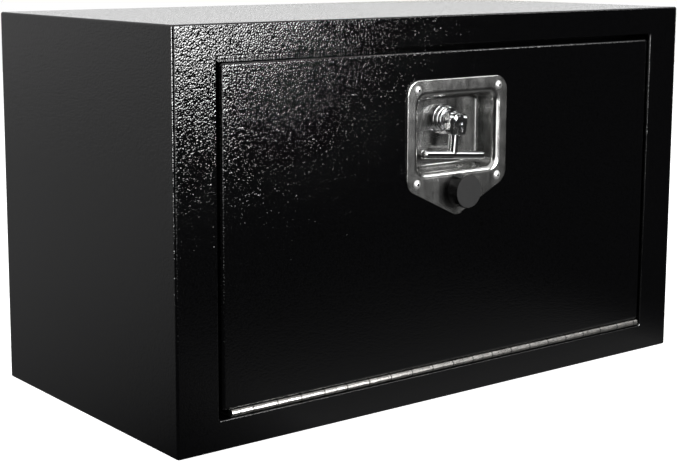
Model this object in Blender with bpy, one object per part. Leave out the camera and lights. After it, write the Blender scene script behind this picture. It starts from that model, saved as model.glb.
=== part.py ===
"""Underbody tool box with a drop-down door and a folding T-handle latch.

Metres, +Z up. The door faces -Y. The origin is the middle of the bottom face.
Depths are measured backwards from the front face of the box.
"""
import math

import bmesh
import bpy
from mathutils import Matrix, Vector

# Shell of the box
box_width = 0.6096
box_height = 0.3556
box_depth = 0.3048
sheet = 0.0019
bend_radius = 0.0022
corner_radius = 0.0026
corner_leg = 0.0032
seat_gap = 0.0003
cut_overrun = 0.002

# Opening in the front, its jamb and the stop flange behind the door
stile_width = 0.0415
top_rail = 0.0266
bottom_rail = 0.0263
opening_corner = 0.0035
stop_overlap = 0.018
stop_corner = 0.006

# Door
door_side_gap = 0.0031
door_top_gap = 0.0047
hinge_gap = 0.0072
door_thickness = 0.0254
door_bend = 0.0023
door_corner = 0.0028
inner_sheet = 0.0015

# Seal on the stop flange
seal_height = 0.007
seal_half_width = 0.006
seal_corner = 0.012
seal_shoulder_share = 0.3
seal_crown_share = 0.7
seal_tip_share = 0.27

# Hinge along the bottom edge
hinge_leaf_sheet = 0.0012
hinge_leaf_width = 0.020
hinge_setback = 0.0096
hinge_end_clearance = 0.0004
knuckle_pitch = 0.01256
first_knuckle = 0.0079
knuckle_sweep = math.radians(295)
hinge_pin_clearance = 0.00015
barrel_proud = 0.0003
hinge_notch = 0.0005

# Hinge rivets
hinge_rivet_radius = 0.0016
hinge_rivet_head_radius = 0.003
hinge_rivet_head = 0.0009
hinge_rivet_tail_radius = 0.0024
hinge_rivet_tail = 0.0014
hinge_rivet_end_inset = 0.030
hinge_rivet_count = 5

# Latch plate with its pressed recess
spindle_drop = 0.070
plate_side_margin = 0.0115
plate_top_margin = 0.012
plate_shoulder_drop = 0.0094
plate_tip_drop = 0.0386
plate_corner = 0.014
plate_tip_radius = 0.008
pan_sheet = 0.0012
recess_width = 0.100
recess_rise = 0.0275
recess_drop = 0.0488
recess_depth = 0.022
recess_corner = 0.009
mouth_radius = 0.0035
recess_draft = 0.0015
floor_radius = 0.003
recess_run_share = 0.3
cutout_clearance = 0.0003

# Blind rivets that hold the latch plate
latch_rivet_inset = 0.00035
latch_rivet_rise = 0.003
latch_rivet_drop = 0.0053
rivet_head_radius = 0.00425
rivet_head = 0.0017
rivet_shank_radius = 0.0023
rivet_hole_clearance = 0.0003
rivet_mandrel_radius = 0.0012
rivet_mandrel_depth = 0.0026
rivet_tail_radius = 0.0032
rivet_tail = 0.0035
rivet_dome_share = 0.65

# Lock collar on the floor of the recess
collar_radius = 0.014
collar_front_radius = 0.0134
collar_front = 0.013
collar_edge = 0.0012
collar_band_share = 0.35

# Spindle that carries the cam
head_wall = 0.0014
head_flat = 0.0007
head_proud = 0.0025
hub_radius = 0.0124
hub_length = 0.0029
hub_edge = 0.0014
journal_wall = 0.0029
journal_clearance = 0.0003
shaft_radius = 0.005
cam_square_share = 0.7
thread_radius = 0.0032
thread_spare = 0.0015
bush_nut_flats = 0.024
bush_nut_length = 0.0065
handle_tilt = math.radians(5.2)

# Cam, its washer and its nut
cam_sheet = 0.003
cam_root_radius = 0.011
cam_tip_radius = 0.008
cam_hold = 0.0097
cam_washer_radius = 0.008
cam_washer_sheet = 0.001
cam_nut_flats = 0.0115
cam_nut_length = 0.005

# Keeper that hooks over the stop flange
keeper_sheet = 0.002
keeper_width = 0.044
keeper_height = 0.018
keeper_lip = 0.0016

# Lock plug
plug_radius = 0.0045
plug_clearance = 0.0002
plug_proud = 0.0003
plug_length = 0.013
keyway_width = 0.001
keyway_height = 0.0055
keyway_depth = 0.003

# Folding T-handle
fold_rise = 0.001
arm_sheet = 0.0039
arm_clearance = 0.0003
eye_radius = 0.0055
yoke_front = 0.002
yoke_drop = 0.0146
yoke_web = 0.0022
yoke_chamfer = 0.002
yoke_foot_share = 0.4
yoke_corner = 0.0055
slot_corner = 0.0035
pivot_radius = 0.00225
pivot_clearance = 0.00025
pivot_seat = 0.0008
pivot_head_radius = 0.0038
pivot_head = 0.0008
shank_radius = 0.0048
crossbar_radius = 0.004
crossbar_length = 0.0735
crossbar_drop = 0.0325
crossbar_depth = 0.002
crossbar_edge_share = 0.35

# Rubber bumper below the handle
bumper_drop = 0.0145
bumper_radius = 0.0153
bumper_length = 0.0156
bumper_base = 0.0016
bumper_groove = 0.001
bumper_groove_depth = 0.0012
bumper_edge = 0.0009
bumper_stud_radius = 0.003
bumper_stud_spare = 0.0015
bumper_nut_flats = 0.010
bumper_nut_length = 0.005

# Studs for the door stays
stud_base_radius = 0.006
stud_base = 0.0015
stud_neck_radius = 0.0025
stud_neck = 0.0055
stud_head_radius = 0.0045
stud_head = 0.0015
door_stud_inset = 0.038
door_stud_drop = 0.045
body_stud_drop = 0.049

# Numbers of flats on round stretches
bend_steps = 3
plate_steps = 4
knuckle_steps = 10
pin_flats = 12
small_flats = 12
round_flats = 24
hex_sides = 6
square_sides = 4

# Places worked out from the sizes
front = -box_depth / 2
opening = (-box_width / 2 + stile_width, box_width / 2 - stile_width,
           bottom_rail, box_height - top_rail)
door = (opening[0] + door_side_gap, opening[1] - door_side_gap,
        opening[2] + hinge_gap, opening[3] - door_top_gap)
spindle_height = opening[3] - spindle_drop
jamb_depth = door_thickness + 2 * seat_gap + seal_height
seal_inset = stop_overlap / 2
barrel_radius = hinge_gap / 2 - seat_gap
bore_radius = barrel_radius - hinge_leaf_sheet
hinge_depth = barrel_radius - barrel_proud
hinge_height = opening[2] + hinge_gap / 2
recess_top = spindle_height + recess_rise
recess_bottom = spindle_height - recess_drop
recess = (-recess_width / 2, recess_width / 2, recess_bottom, recess_top)
plate_width = recess_width + 2 * plate_side_margin
plate_top = recess_top + plate_top_margin
plate_shoulder = recess_bottom - plate_shoulder_drop
plate_tip = recess_bottom - plate_tip_drop
bumper_height = recess_bottom - bumper_drop
plate_front = -pan_sheet - seat_gap
floor_back = recess_depth + pan_sheet
bush_back = floor_back + seat_gap + bush_nut_length
keeper_back = jamb_depth + sheet + seat_gap + keeper_sheet
cam_front = keeper_back + seat_gap
cam_back = cam_front + cam_sheet
hub_front = collar_front - seat_gap - hub_length
head_half_width = plug_radius + plug_clearance + head_wall
head_radius = head_half_width + head_flat
journal_radius = plug_radius + plug_clearance + journal_wall
cam_square_half = shaft_radius * cam_square_share
fold_depth = hub_front - seat_gap - eye_radius
arm_inner = head_half_width + arm_clearance
arm_outer = arm_inner + arm_sheet
stop = (door[0] + stop_overlap, door[1] - stop_overlap,
        door[2] + stop_overlap, door[3] - stop_overlap)
cam_reach = stop[3] + cam_hold - spindle_height

hinge_origin = Vector((0, front + hinge_depth, hinge_height))
spindle_origin = Vector((0, front, spindle_height))
fold_origin = Vector((0, front + fold_depth, spindle_height + fold_rise))


def grow(rect, distance):
    """Move the four sides of a rectangle outwards."""
    return (rect[0] - distance, rect[1] + distance, rect[2] - distance, rect[3] + distance)


def rounded_outline(corners, radii, steps):
    """Outline of a polygon whose corners are arcs, as (across, up) pairs."""
    outline = []
    for i, corner in enumerate(corners):
        point = Vector(corner)
        before = (Vector(corners[i - 1]) - point).normalized()
        after = (Vector(corners[(i + 1) % len(corners)]) - point).normalized()
        half = before.angle(after) / 2
        middle = point + (before + after).normalized() * (radii[i] / math.sin(half))
        start = point + before * (radii[i] / math.tan(half)) - middle
        turn = start.angle_signed(point + after * (radii[i] / math.tan(half)) - middle)
        for step in range(steps + 1):
            angle = -turn * step / steps
            spoke = Matrix.Rotation(angle, 2) @ start
            outline.append(tuple(middle + spoke))
    return outline


def rect_outline(rect, radius, steps=bend_steps):
    """Outline of a rounded rectangle."""
    left, right, low, high = rect
    corners = [(left, low), (right, low), (right, high), (left, high)]
    return rounded_outline(corners, [radius] * len(corners), steps)


def facing(outline, depth):
    """Lay an outline in a plane that faces the front, at a depth."""
    return [Vector((x, front + depth, z)) for x, z in outline]


def side_on(outline, x):
    """Lay an outline of (depth, height) pairs in a plane square to X."""
    return [Vector((x, front + depth, z)) for depth, z in outline]


def rect_ring(rect, radius, depth):
    """Ring of a rounded rectangle at a depth."""
    return facing(rect_outline(rect, radius), depth)


def bend(radius, steps=bend_steps):
    """Pairs of (inset, depth) round a bend, from its side to its face."""
    pairs = []
    for step in range(steps + 1):
        angle = math.pi / 2 * step / steps
        pairs.append((radius * (1 - math.cos(angle)), radius * (1 - math.sin(angle))))
    return pairs


def spokes(flats):
    """Unit directions of the corners of a regular ring."""
    return [(math.cos(math.tau * (i + 0.5) / flats), math.sin(math.tau * (i + 0.5) / flats))
            for i in range(flats)]


def round_outline(radius, middle, flats=round_flats):
    """Circle about a middle point."""
    return [(middle[0] + radius * c, middle[1] + radius * s) for c, s in spokes(flats)]


def sided_outline(across_flats, sides, middle, flats=round_flats):
    """Square or hexagon with as many points as a circle."""
    outline = []
    for i in range(flats):
        angle = math.tau * (i + 0.5) / flats
        off_flat = (angle % (math.tau / sides)) - math.pi / sides
        reach = across_flats / 2 / math.cos(off_flat)
        outline.append((middle[0] + reach * math.cos(angle), middle[1] + reach * math.sin(angle)))
    return outline


def loft(rings, closed=False):
    """Skin equal rings. Closed joins the last ring to the first, or else both ends are capped."""
    mesh = bmesh.new()
    loops = [[mesh.verts.new(point) for point in ring] for ring in rings]
    pairs = list(zip(loops, loops[1:]))
    if closed:
        pairs.append((loops[-1], loops[0]))
    for near, far in pairs:
        for i in range(len(near)):
            j = (i + 1) % len(near)
            mesh.faces.new((near[i], near[j], far[j], far[i]))
    if not closed:
        mesh.faces.new(loops[0])
        mesh.faces.new(loops[-1])
    bmesh.ops.recalc_face_normals(mesh, faces=mesh.faces)
    return mesh


def gather(meshes):
    """Put several meshes into one."""
    whole = bmesh.new()
    for mesh in meshes:
        data = bpy.data.meshes.new("gathered")
        mesh.to_mesh(data)
        mesh.free()
        whole.from_mesh(data)
        bpy.data.meshes.remove(data)
    return whole


def material(name, colour, roughness, metallic):
    """Plain material of one piece."""
    paint = bpy.data.materials.new(name)
    paint.use_nodes = True
    shader = paint.node_tree.nodes["Principled BSDF"]
    shader.inputs["Base Color"].default_value = (*colour, 1)
    shader.inputs["Roughness"].default_value = roughness
    shader.inputs["Metallic"].default_value = metallic
    return paint


def add_axis(name, place, parent=None, parent_place=None, tilt=0.0):
    """Empty on a joint's axis."""
    axis = bpy.data.objects.new(name, None)
    axis.empty_display_size = hinge_gap
    axis.location = place - parent_place if parent else place
    axis.rotation_euler = (0, tilt, 0)
    axis.parent = parent
    bpy.context.collection.objects.link(axis)
    return axis


def add_piece(name, mesh, finish, axis=None, place=None):
    """Object of a piece. A moving piece is parented to the empty on its axis."""
    if axis:
        mesh.transform(Matrix.Translation(-place))
    data = bpy.data.meshes.new(name)
    mesh.to_mesh(data)
    mesh.free()
    data.shade_smooth()
    data.set_sharp_from_angle(angle=math.radians(35))
    piece = bpy.data.objects.new(name, data)
    piece.parent = axis
    bpy.context.collection.objects.link(piece)
    if finish:
        data.materials.append(material(name, *finish))
    return piece


def add_set(name, meshes, finish, axis=None, place=None):
    """One object for each of several like pieces."""
    for i, mesh in enumerate(meshes):
        add_piece(f"{name}_{i + 1}", mesh, finish, axis, place)


def add_cutter(name, mesh, axis=None, place=None):
    """Guide object that a Boolean reads."""
    cutter = add_piece(name, mesh, None, axis, place)
    cutter.display_type = "WIRE"
    cutter.hide_render = True
    return cutter


def combine(piece, other, operation):
    """Boolean modifier on a piece."""
    modifier = piece.modifiers.new(operation.lower() + "_" + other.name, "BOOLEAN")
    modifier.operation = operation
    modifier.solver = "EXACT"
    modifier.object = other


black_coat = ((0.012, 0.012, 0.013), 0.38, 0.0)
stainless = ((0.58, 0.58, 0.57), 0.28, 1.0)
polished = ((0.72, 0.72, 0.73), 0.12, 1.0)
zinc = ((0.55, 0.56, 0.58), 0.40, 1.0)
rubber = ((0.03, 0.03, 0.03), 0.62, 0.0)


def wrap_outline(height, up):
    """Section of the top or bottom sheet: flat, with a short leg bent down each side."""
    outside, inside = [], []
    for step in range(bend_steps + 1):
        angle = math.pi / 2 * step / bend_steps
        inner = bend_radius - sheet
        middle = box_width / 2 - bend_radius
        outside.append((middle + bend_radius * math.cos(angle),
                        -bend_radius + bend_radius * math.sin(angle)))
        inside.append((middle + inner * math.cos(angle), -bend_radius + inner * math.sin(angle)))
    half = [(box_width / 2, -corner_leg)] + outside
    back = [(box_width / 2 - sheet, -corner_leg)] + inside
    outline = half + [(-x, z) for x, z in reversed(half)]
    outline += [(-x, z) for x, z in back] + list(reversed(back))
    return [(x, height + z * up) for x, z in outline]


def build_shell():
    """Six sheets that are welded edge to edge."""
    outer = (-box_width / 2, box_width / 2, 0, box_height)
    rings = [rect_ring(outer, corner_radius, corner_leg)]
    for inset, depth in bend(bend_radius):
        rings.append(rect_ring(grow(outer, -inset), corner_radius - inset, depth))
    for inset, depth in reversed(bend(bend_radius)):
        rings.append(rect_ring(grow(opening, inset), opening_corner + inset, depth))
    rings.append(rect_ring(opening, opening_corner, jamb_depth))
    rings.append(rect_ring(stop, stop_corner, jamb_depth))
    rings.append(rect_ring(stop, stop_corner, jamb_depth + sheet))
    rings.append(rect_ring(grow(opening, sheet), opening_corner + sheet, jamb_depth + sheet))
    rings.append(rect_ring(grow(opening, sheet), opening_corner + sheet, sheet))
    rings.append(rect_ring(grow(outer, -sheet), corner_radius - sheet, sheet))
    rings.append(rect_ring(grow(outer, -sheet), corner_radius - sheet, corner_leg))
    frame = add_piece("front_frame", loft(rings, closed=True), black_coat)

    rings = []
    for inset, depth in reversed(bend(bend_radius)):
        rings.append(rect_ring(grow(outer, -inset), corner_radius - inset, box_depth - depth))
    rings.append(rect_ring(outer, corner_radius, box_depth - corner_leg))
    rings.append(rect_ring(grow(outer, -sheet), corner_radius - sheet, box_depth - corner_leg))
    rings.append(rect_ring(grow(outer, -sheet), corner_radius - sheet, box_depth - sheet))
    add_piece("back_panel", loft(rings), black_coat)

    near = corner_leg + seat_gap
    far = box_depth - corner_leg - seat_gap
    for name, height, up in (("top_panel", box_height, 1), ("bottom_panel", 0, -1)):
        outline = wrap_outline(height, up)
        add_piece(name, loft([facing(outline, near), facing(outline, far)]), black_coat)

    low = corner_leg + seat_gap
    high = box_height - corner_leg - seat_gap
    outline = [(near, low), (far, low), (far, high), (near, high)]
    for name, side in (("left_side_panel", -1), ("right_side_panel", 1)):
        outside = side * box_width / 2
        inside = outside - side * sheet
        add_piece(name, loft([side_on(outline, outside), side_on(outline, inside)]), black_coat)
    return frame


def build_seal():
    """Hollow-section door seal, as a solid bulb round the stop flange."""
    base = jamb_depth - seat_gap
    tip = door_thickness + seat_gap
    rise = base - tip
    half = [(1, 0), (1, seal_shoulder_share), (seal_crown_share, 1 - seal_shoulder_share),
            (seal_tip_share, 1)]
    profile = half + [(-across, up) for across, up in reversed(half)]
    middle = grow(door, -seal_inset)
    rings = []
    for across, up in profile:
        offset = across * seal_half_width
        rings.append(rect_ring(grow(middle, offset), seal_corner + offset, base - up * rise))
    add_piece("door_seal", loft(rings, closed=True), rubber)


def build_keeper():
    """Strike plate behind the top stop flange, with a lip hooked under its edge."""
    back = keeper_back
    front_leg = back - keeper_sheet
    low = stop[3] - seat_gap - keeper_sheet
    high = low + keeper_height
    outline = [(back, low), (back, high), (front_leg, high), (front_leg, low + keeper_sheet),
               (front_leg - keeper_lip, low + keeper_sheet), (front_leg - keeper_lip, low)]
    half = keeper_width / 2
    add_piece("keeper", loft([side_on(outline, -half), side_on(outline, half)]), zinc)


def knuckle_edges():
    """Places along X where one knuckle ends and the next begins."""
    left = door[0] + hinge_setback
    room = door[1] - hinge_end_clearance - left - first_knuckle
    count = int(room / knuckle_pitch)
    return [left] + [left + first_knuckle + knuckle_pitch * i for i in range(count + 1)]


def leaf_mesh(edges, parity, up):
    """Leaf of the hinge: a notched strip whose every second span curls round the pin."""
    notch = barrel_radius + hinge_notch
    strip = [(notch, -barrel_radius), (notch, -bore_radius),
             (hinge_leaf_width, -bore_radius), (hinge_leaf_width, -barrel_radius)]
    angles = [knuckle_sweep * i / knuckle_steps for i in range(knuckle_steps + 1)]
    curl = [(-barrel_radius * math.sin(a), -barrel_radius * math.cos(a)) for a in angles]
    curl += [(-bore_radius * math.sin(a), -bore_radius * math.cos(a)) for a in reversed(angles)]

    stations = [edges[0]]
    own = []
    for i in range(parity, len(edges) - 1, 2):
        start = edges[i] + (seat_gap / 2 if i else 0)
        end = edges[i + 1] - (seat_gap / 2 if i < len(edges) - 2 else 0)
        own.append((start, end))
        stations += [start, end]
    stations = sorted(set(stations + [edges[-1]]))

    mesh = bmesh.new()

    def row(points, x):
        return [mesh.verts.new((x, hinge_origin.y + y, hinge_height + z * up)) for y, z in points]

    strips = {x: row(strip, x) for x in stations}
    for start, end in zip(stations, stations[1:]):
        near, far = strips[start], strips[end]
        for i in (1, 2, 3):
            j = (i + 1) % len(strip)
            mesh.faces.new((near[i], near[j], far[j], far[i]))
        if (start, end) not in own:
            mesh.faces.new((near[0], near[1], far[1], far[0]))
    for start, end in own:
        near = [strips[start][0]] + row(curl, start) + [strips[start][1]]
        far = [strips[end][0]] + row(curl, end) + [strips[end][1]]
        for i in range(len(near) - 1):
            mesh.faces.new((near[i], near[i + 1], far[i + 1], far[i]))
        mesh.faces.new(near)
        mesh.faces.new(far)
    mesh.faces.new(strips[stations[0]])
    mesh.faces.new(strips[stations[-1]])
    bmesh.ops.recalc_face_normals(mesh, faces=mesh.faces)
    return mesh


def upright_ring(radius, x, y, z, flats):
    """Ring about a vertical line."""
    return [Vector((x + radius * c, y + radius * s, z)) for c, s in spokes(flats)]


def build_hinge(frame, door_skin, door_axis):
    """Continuous hinge: two leaves, a pin and rivets through each leaf."""
    edges = knuckle_edges()
    leaf_frame = add_piece("hinge_frame_leaf", leaf_mesh(edges, 0, 1), stainless)
    leaf_door = add_piece("hinge_door_leaf", leaf_mesh(edges, 1, -1), stainless,
                          door_axis, hinge_origin)

    pin_radius = bore_radius * math.cos(knuckle_sweep / knuckle_steps / 2) - hinge_pin_clearance
    outline = [(hinge_depth + y, hinge_height + z)
               for y, z in round_outline(pin_radius, (0, 0), pin_flats)]
    add_piece("hinge_pin", loft([side_on(outline, edges[0]), side_on(outline, edges[-1])]),
              stainless)

    first = edges[0] + hinge_rivet_end_inset
    last = edges[-1] - hinge_rivet_end_inset
    depth = (barrel_radius + hinge_leaf_width) / 2
    y = hinge_origin.y + depth
    for name, up, leaf, body, axis in (
            ("hinge_frame_rivet", 1, leaf_frame, frame, None),
            ("hinge_door_rivet", -1, leaf_door, door_skin, door_axis)):
        rivets, holes = [], []
        for i in range(hinge_rivet_count):
            x = first + (last - first) * i / (hinge_rivet_count - 1)
            seat = bore_radius - seat_gap
            under = barrel_radius + seat_gap + sheet + seat_gap
            profile = [(hinge_rivet_head_radius / 2, seat - hinge_rivet_head),
                       (hinge_rivet_head_radius, seat), (hinge_rivet_radius, seat),
                       (hinge_rivet_radius, under), (hinge_rivet_tail_radius, under),
                       (hinge_rivet_tail_radius / 2, under + hinge_rivet_tail)]
            rivets.append(loft([upright_ring(r, x, y, hinge_height - d * up, small_flats)
                                for r, d in profile]))
            reach = under + cut_overrun
            hole = hinge_rivet_radius + seat_gap
            holes.append(loft([upright_ring(hole, x, y, hinge_height - d * up, small_flats)
                               for d in (0, reach)]))
        add_set(name, rivets, stainless, axis, hinge_origin)
        cutter = add_cutter(name + "_holes", gather(holes), axis, hinge_origin)
        combine(leaf, cutter, "DIFFERENCE")
        combine(body, cutter, "DIFFERENCE")


def cutout():
    """Hole in the door sheets for the latch recess, as (rectangle, corner radius)."""
    return grow(recess, cutout_clearance), recess_corner + cutout_clearance


def build_door(door_axis):
    """Door skin with its folded edge, and the flat inner panel."""
    hole, hole_corner = cutout()
    rings = [rect_ring(hole, hole_corner, sheet), rect_ring(hole, hole_corner, 0)]
    for inset, depth in reversed(bend(door_bend)):
        rings.append(rect_ring(grow(door, -inset), door_corner - inset, depth))
    rings.append(rect_ring(door, door_corner, door_thickness))
    inner = grow(door, -sheet)
    rings.append(rect_ring(inner, door_corner - sheet, door_thickness))
    rings.append(rect_ring(inner, door_corner - sheet, sheet))
    skin = add_piece("door_outer_panel", loft(rings, closed=True), black_coat,
                     door_axis, hinge_origin)

    edge = grow(inner, -seat_gap)
    face = door_thickness - inner_sheet
    rings = [rect_ring(hole, hole_corner, door_thickness), rect_ring(hole, hole_corner, face),
             rect_ring(edge, door_corner - sheet, face),
             rect_ring(edge, door_corner - sheet, door_thickness)]
    add_piece("door_inner_panel", loft(rings, closed=True), black_coat, door_axis, hinge_origin)
    return skin


def plate_outline():
    """Outline of the latch plate: a square top and a pointed bottom."""
    half = plate_width / 2
    corners = [(-half, plate_shoulder), (0, plate_tip),
               (half, plate_shoulder), (half, plate_top), (-half, plate_top)]
    radii = [plate_corner, plate_tip_radius, plate_corner, plate_corner, plate_corner]
    return rounded_outline(corners, radii, plate_steps)


def recess_ring(inset, depth):
    """Ring of the recess with as many points as the plate's outline."""
    left, right, low, high = grow(recess, -inset)
    radius = recess_corner - inset
    arcs = rounded_outline([(left, low), (right, low), (right, high), (left, high)],
                           [radius] * 4, plate_steps)
    group = plate_steps + 1
    run = recess_width * recess_run_share
    along = [(-run / 2 + run * i / plate_steps, low) for i in range(group)]
    return facing(arcs[:group] + along + arcs[group:], depth)


def latch_places():
    """Middles of the four plate rivets."""
    half = recess_width / 2 - latch_rivet_inset
    heights = (recess_top + latch_rivet_rise, recess_bottom - latch_rivet_drop)
    return [(x, z) for z in heights for x in (-half, half)]


def cylinder_through(radius, middle, near, far, flats=round_flats):
    """Round cutter that runs from one depth to another."""
    outline = round_outline(radius, middle, flats)
    return loft([facing(outline, near), facing(outline, far)])


def build_latch_plate(door_skin, door_axis):
    """Pressed latch plate, its four rivets, and the holes that they need."""
    wall = mouth_radius + recess_draft
    rings = [recess_ring(wall + inset, recess_depth - depth)
             for inset, depth in reversed(bend(floor_radius))]
    for inset, depth in bend(mouth_radius):
        rings.append(recess_ring(mouth_radius - inset, plate_front + depth))
    rings.append(facing(plate_outline(), plate_front))
    rings.append(facing(plate_outline(), -seat_gap))
    back_radius = mouth_radius - pan_sheet
    for inset, depth in reversed(bend(back_radius)):
        rings.append(recess_ring(back_radius - inset, -seat_gap + depth))
    for inset, depth in bend(floor_radius + pan_sheet):
        rings.append(recess_ring(wall - pan_sheet + inset, floor_back - depth))
    pan = add_piece("latch_pan", loft(rings), stainless, door_axis, hinge_origin)

    rivets, holes = [], []
    seat = plate_front - seat_gap
    top = seat - rivet_head
    tail = sheet + seat_gap
    mandrel = top + rivet_mandrel_depth
    profile = [(rivet_mandrel_radius, mandrel), (rivet_mandrel_radius, top),
               (rivet_head_radius * rivet_dome_share, top),
               (rivet_head_radius, seat - rivet_head * (1 - rivet_dome_share)),
               (rivet_head_radius, seat), (rivet_shank_radius, seat),
               (rivet_shank_radius, tail), (rivet_tail_radius, tail),
               (rivet_tail_radius * rivet_dome_share, tail + rivet_tail)]
    for middle in latch_places():
        rivets.append(loft([facing(round_outline(r, middle, small_flats), d)
                            for r, d in profile]))
        holes.append(cylinder_through(rivet_shank_radius + rivet_hole_clearance, middle,
                                      plate_front - cut_overrun, sheet + cut_overrun,
                                      small_flats))
    add_set("latch_rivet", rivets, stainless, door_axis, hinge_origin)
    holes.append(cylinder_through(bumper_stud_radius + seat_gap, (0, bumper_height),
                                  plate_front - cut_overrun, sheet + cut_overrun, small_flats))
    cutter = add_cutter("latch_plate_holes", gather(holes), door_axis, hinge_origin)
    combine(pan, cutter, "DIFFERENCE")
    combine(door_skin, cutter, "DIFFERENCE")

    hole = cylinder_through(journal_radius + 2 * journal_clearance, (0, spindle_height),
                            recess_depth - cut_overrun, floor_back + cut_overrun)
    cutter = add_cutter("spindle_hole", hole, door_axis, hinge_origin)
    combine(pan, cutter, "DIFFERENCE")


def turned(profile, middle, flats=round_flats, closed=False):
    """Round solid from (radius, depth) pairs."""
    return loft([facing(round_outline(r, middle, flats), d) for r, d in profile], closed)


def sleeve(outlines_and_depths):
    """Solid with a through bore, from outlines that go round its section."""
    return loft([facing(outline, depth) for outline, depth in outlines_and_depths], closed=True)


def hex_nut(flats_size, bore, middle, near, far):
    """Hexagonal nut between two depths."""
    hexagon = sided_outline(flats_size, hex_sides, middle)
    circle = round_outline(bore, middle)
    return sleeve([(hexagon, near), (hexagon, far), (circle, far), (circle, near)])


def build_collar(door_axis):
    """Domed collar in front of the recess floor and the nut behind it."""
    middle = (0, spindle_height)
    bore = journal_radius + journal_clearance
    seat = recess_depth - seat_gap
    band = seat - (seat - collar_front) * collar_band_share
    profile = [(bore, seat), (collar_radius, seat), (collar_radius, band)]
    for inset, depth in bend(collar_edge):
        profile.append((collar_front_radius - inset, collar_front + depth))
    profile.append((bore, collar_front))
    add_piece("lock_collar", turned(profile, middle, closed=True), polished,
              door_axis, hinge_origin)
    nut = hex_nut(bush_nut_flats, bore, middle, floor_back + seat_gap, bush_back)
    add_piece("collar_nut", nut, zinc, door_axis, hinge_origin)


def build_bumper(door_axis):
    """Round rubber bumper with a moulded-in stud, and the nut behind the door skin."""
    middle = (0, bumper_height)
    base = plate_front - seat_gap
    face = base - bumper_length
    groove = base - bumper_base
    stud_end = sheet + seat_gap + bumper_nut_length + bumper_stud_spare
    waist = bumper_radius - bumper_groove_depth
    profile = [(bumper_stud_radius, stud_end), (bumper_stud_radius, base),
               (bumper_radius, base), (bumper_radius, groove), (waist, groove),
               (waist, groove - bumper_groove), (bumper_radius, groove - bumper_groove)]
    for inset, depth in bend(bumper_edge, 2):
        profile.append((bumper_radius - inset, face + depth))
    add_piece("bumper", turned(profile, middle), rubber, door_axis, hinge_origin)
    nut = hex_nut(bumper_nut_flats, bumper_stud_radius + seat_gap, middle,
                  sheet + seat_gap, sheet + seat_gap + bumper_nut_length)
    add_piece("bumper_nut", nut, zinc, door_axis, hinge_origin)


def flatted(outline):
    """Round outline with a flat on each side for the handle's arms."""
    return [(max(-head_half_width, min(head_half_width, x)), z) for x, z in outline]


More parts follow.
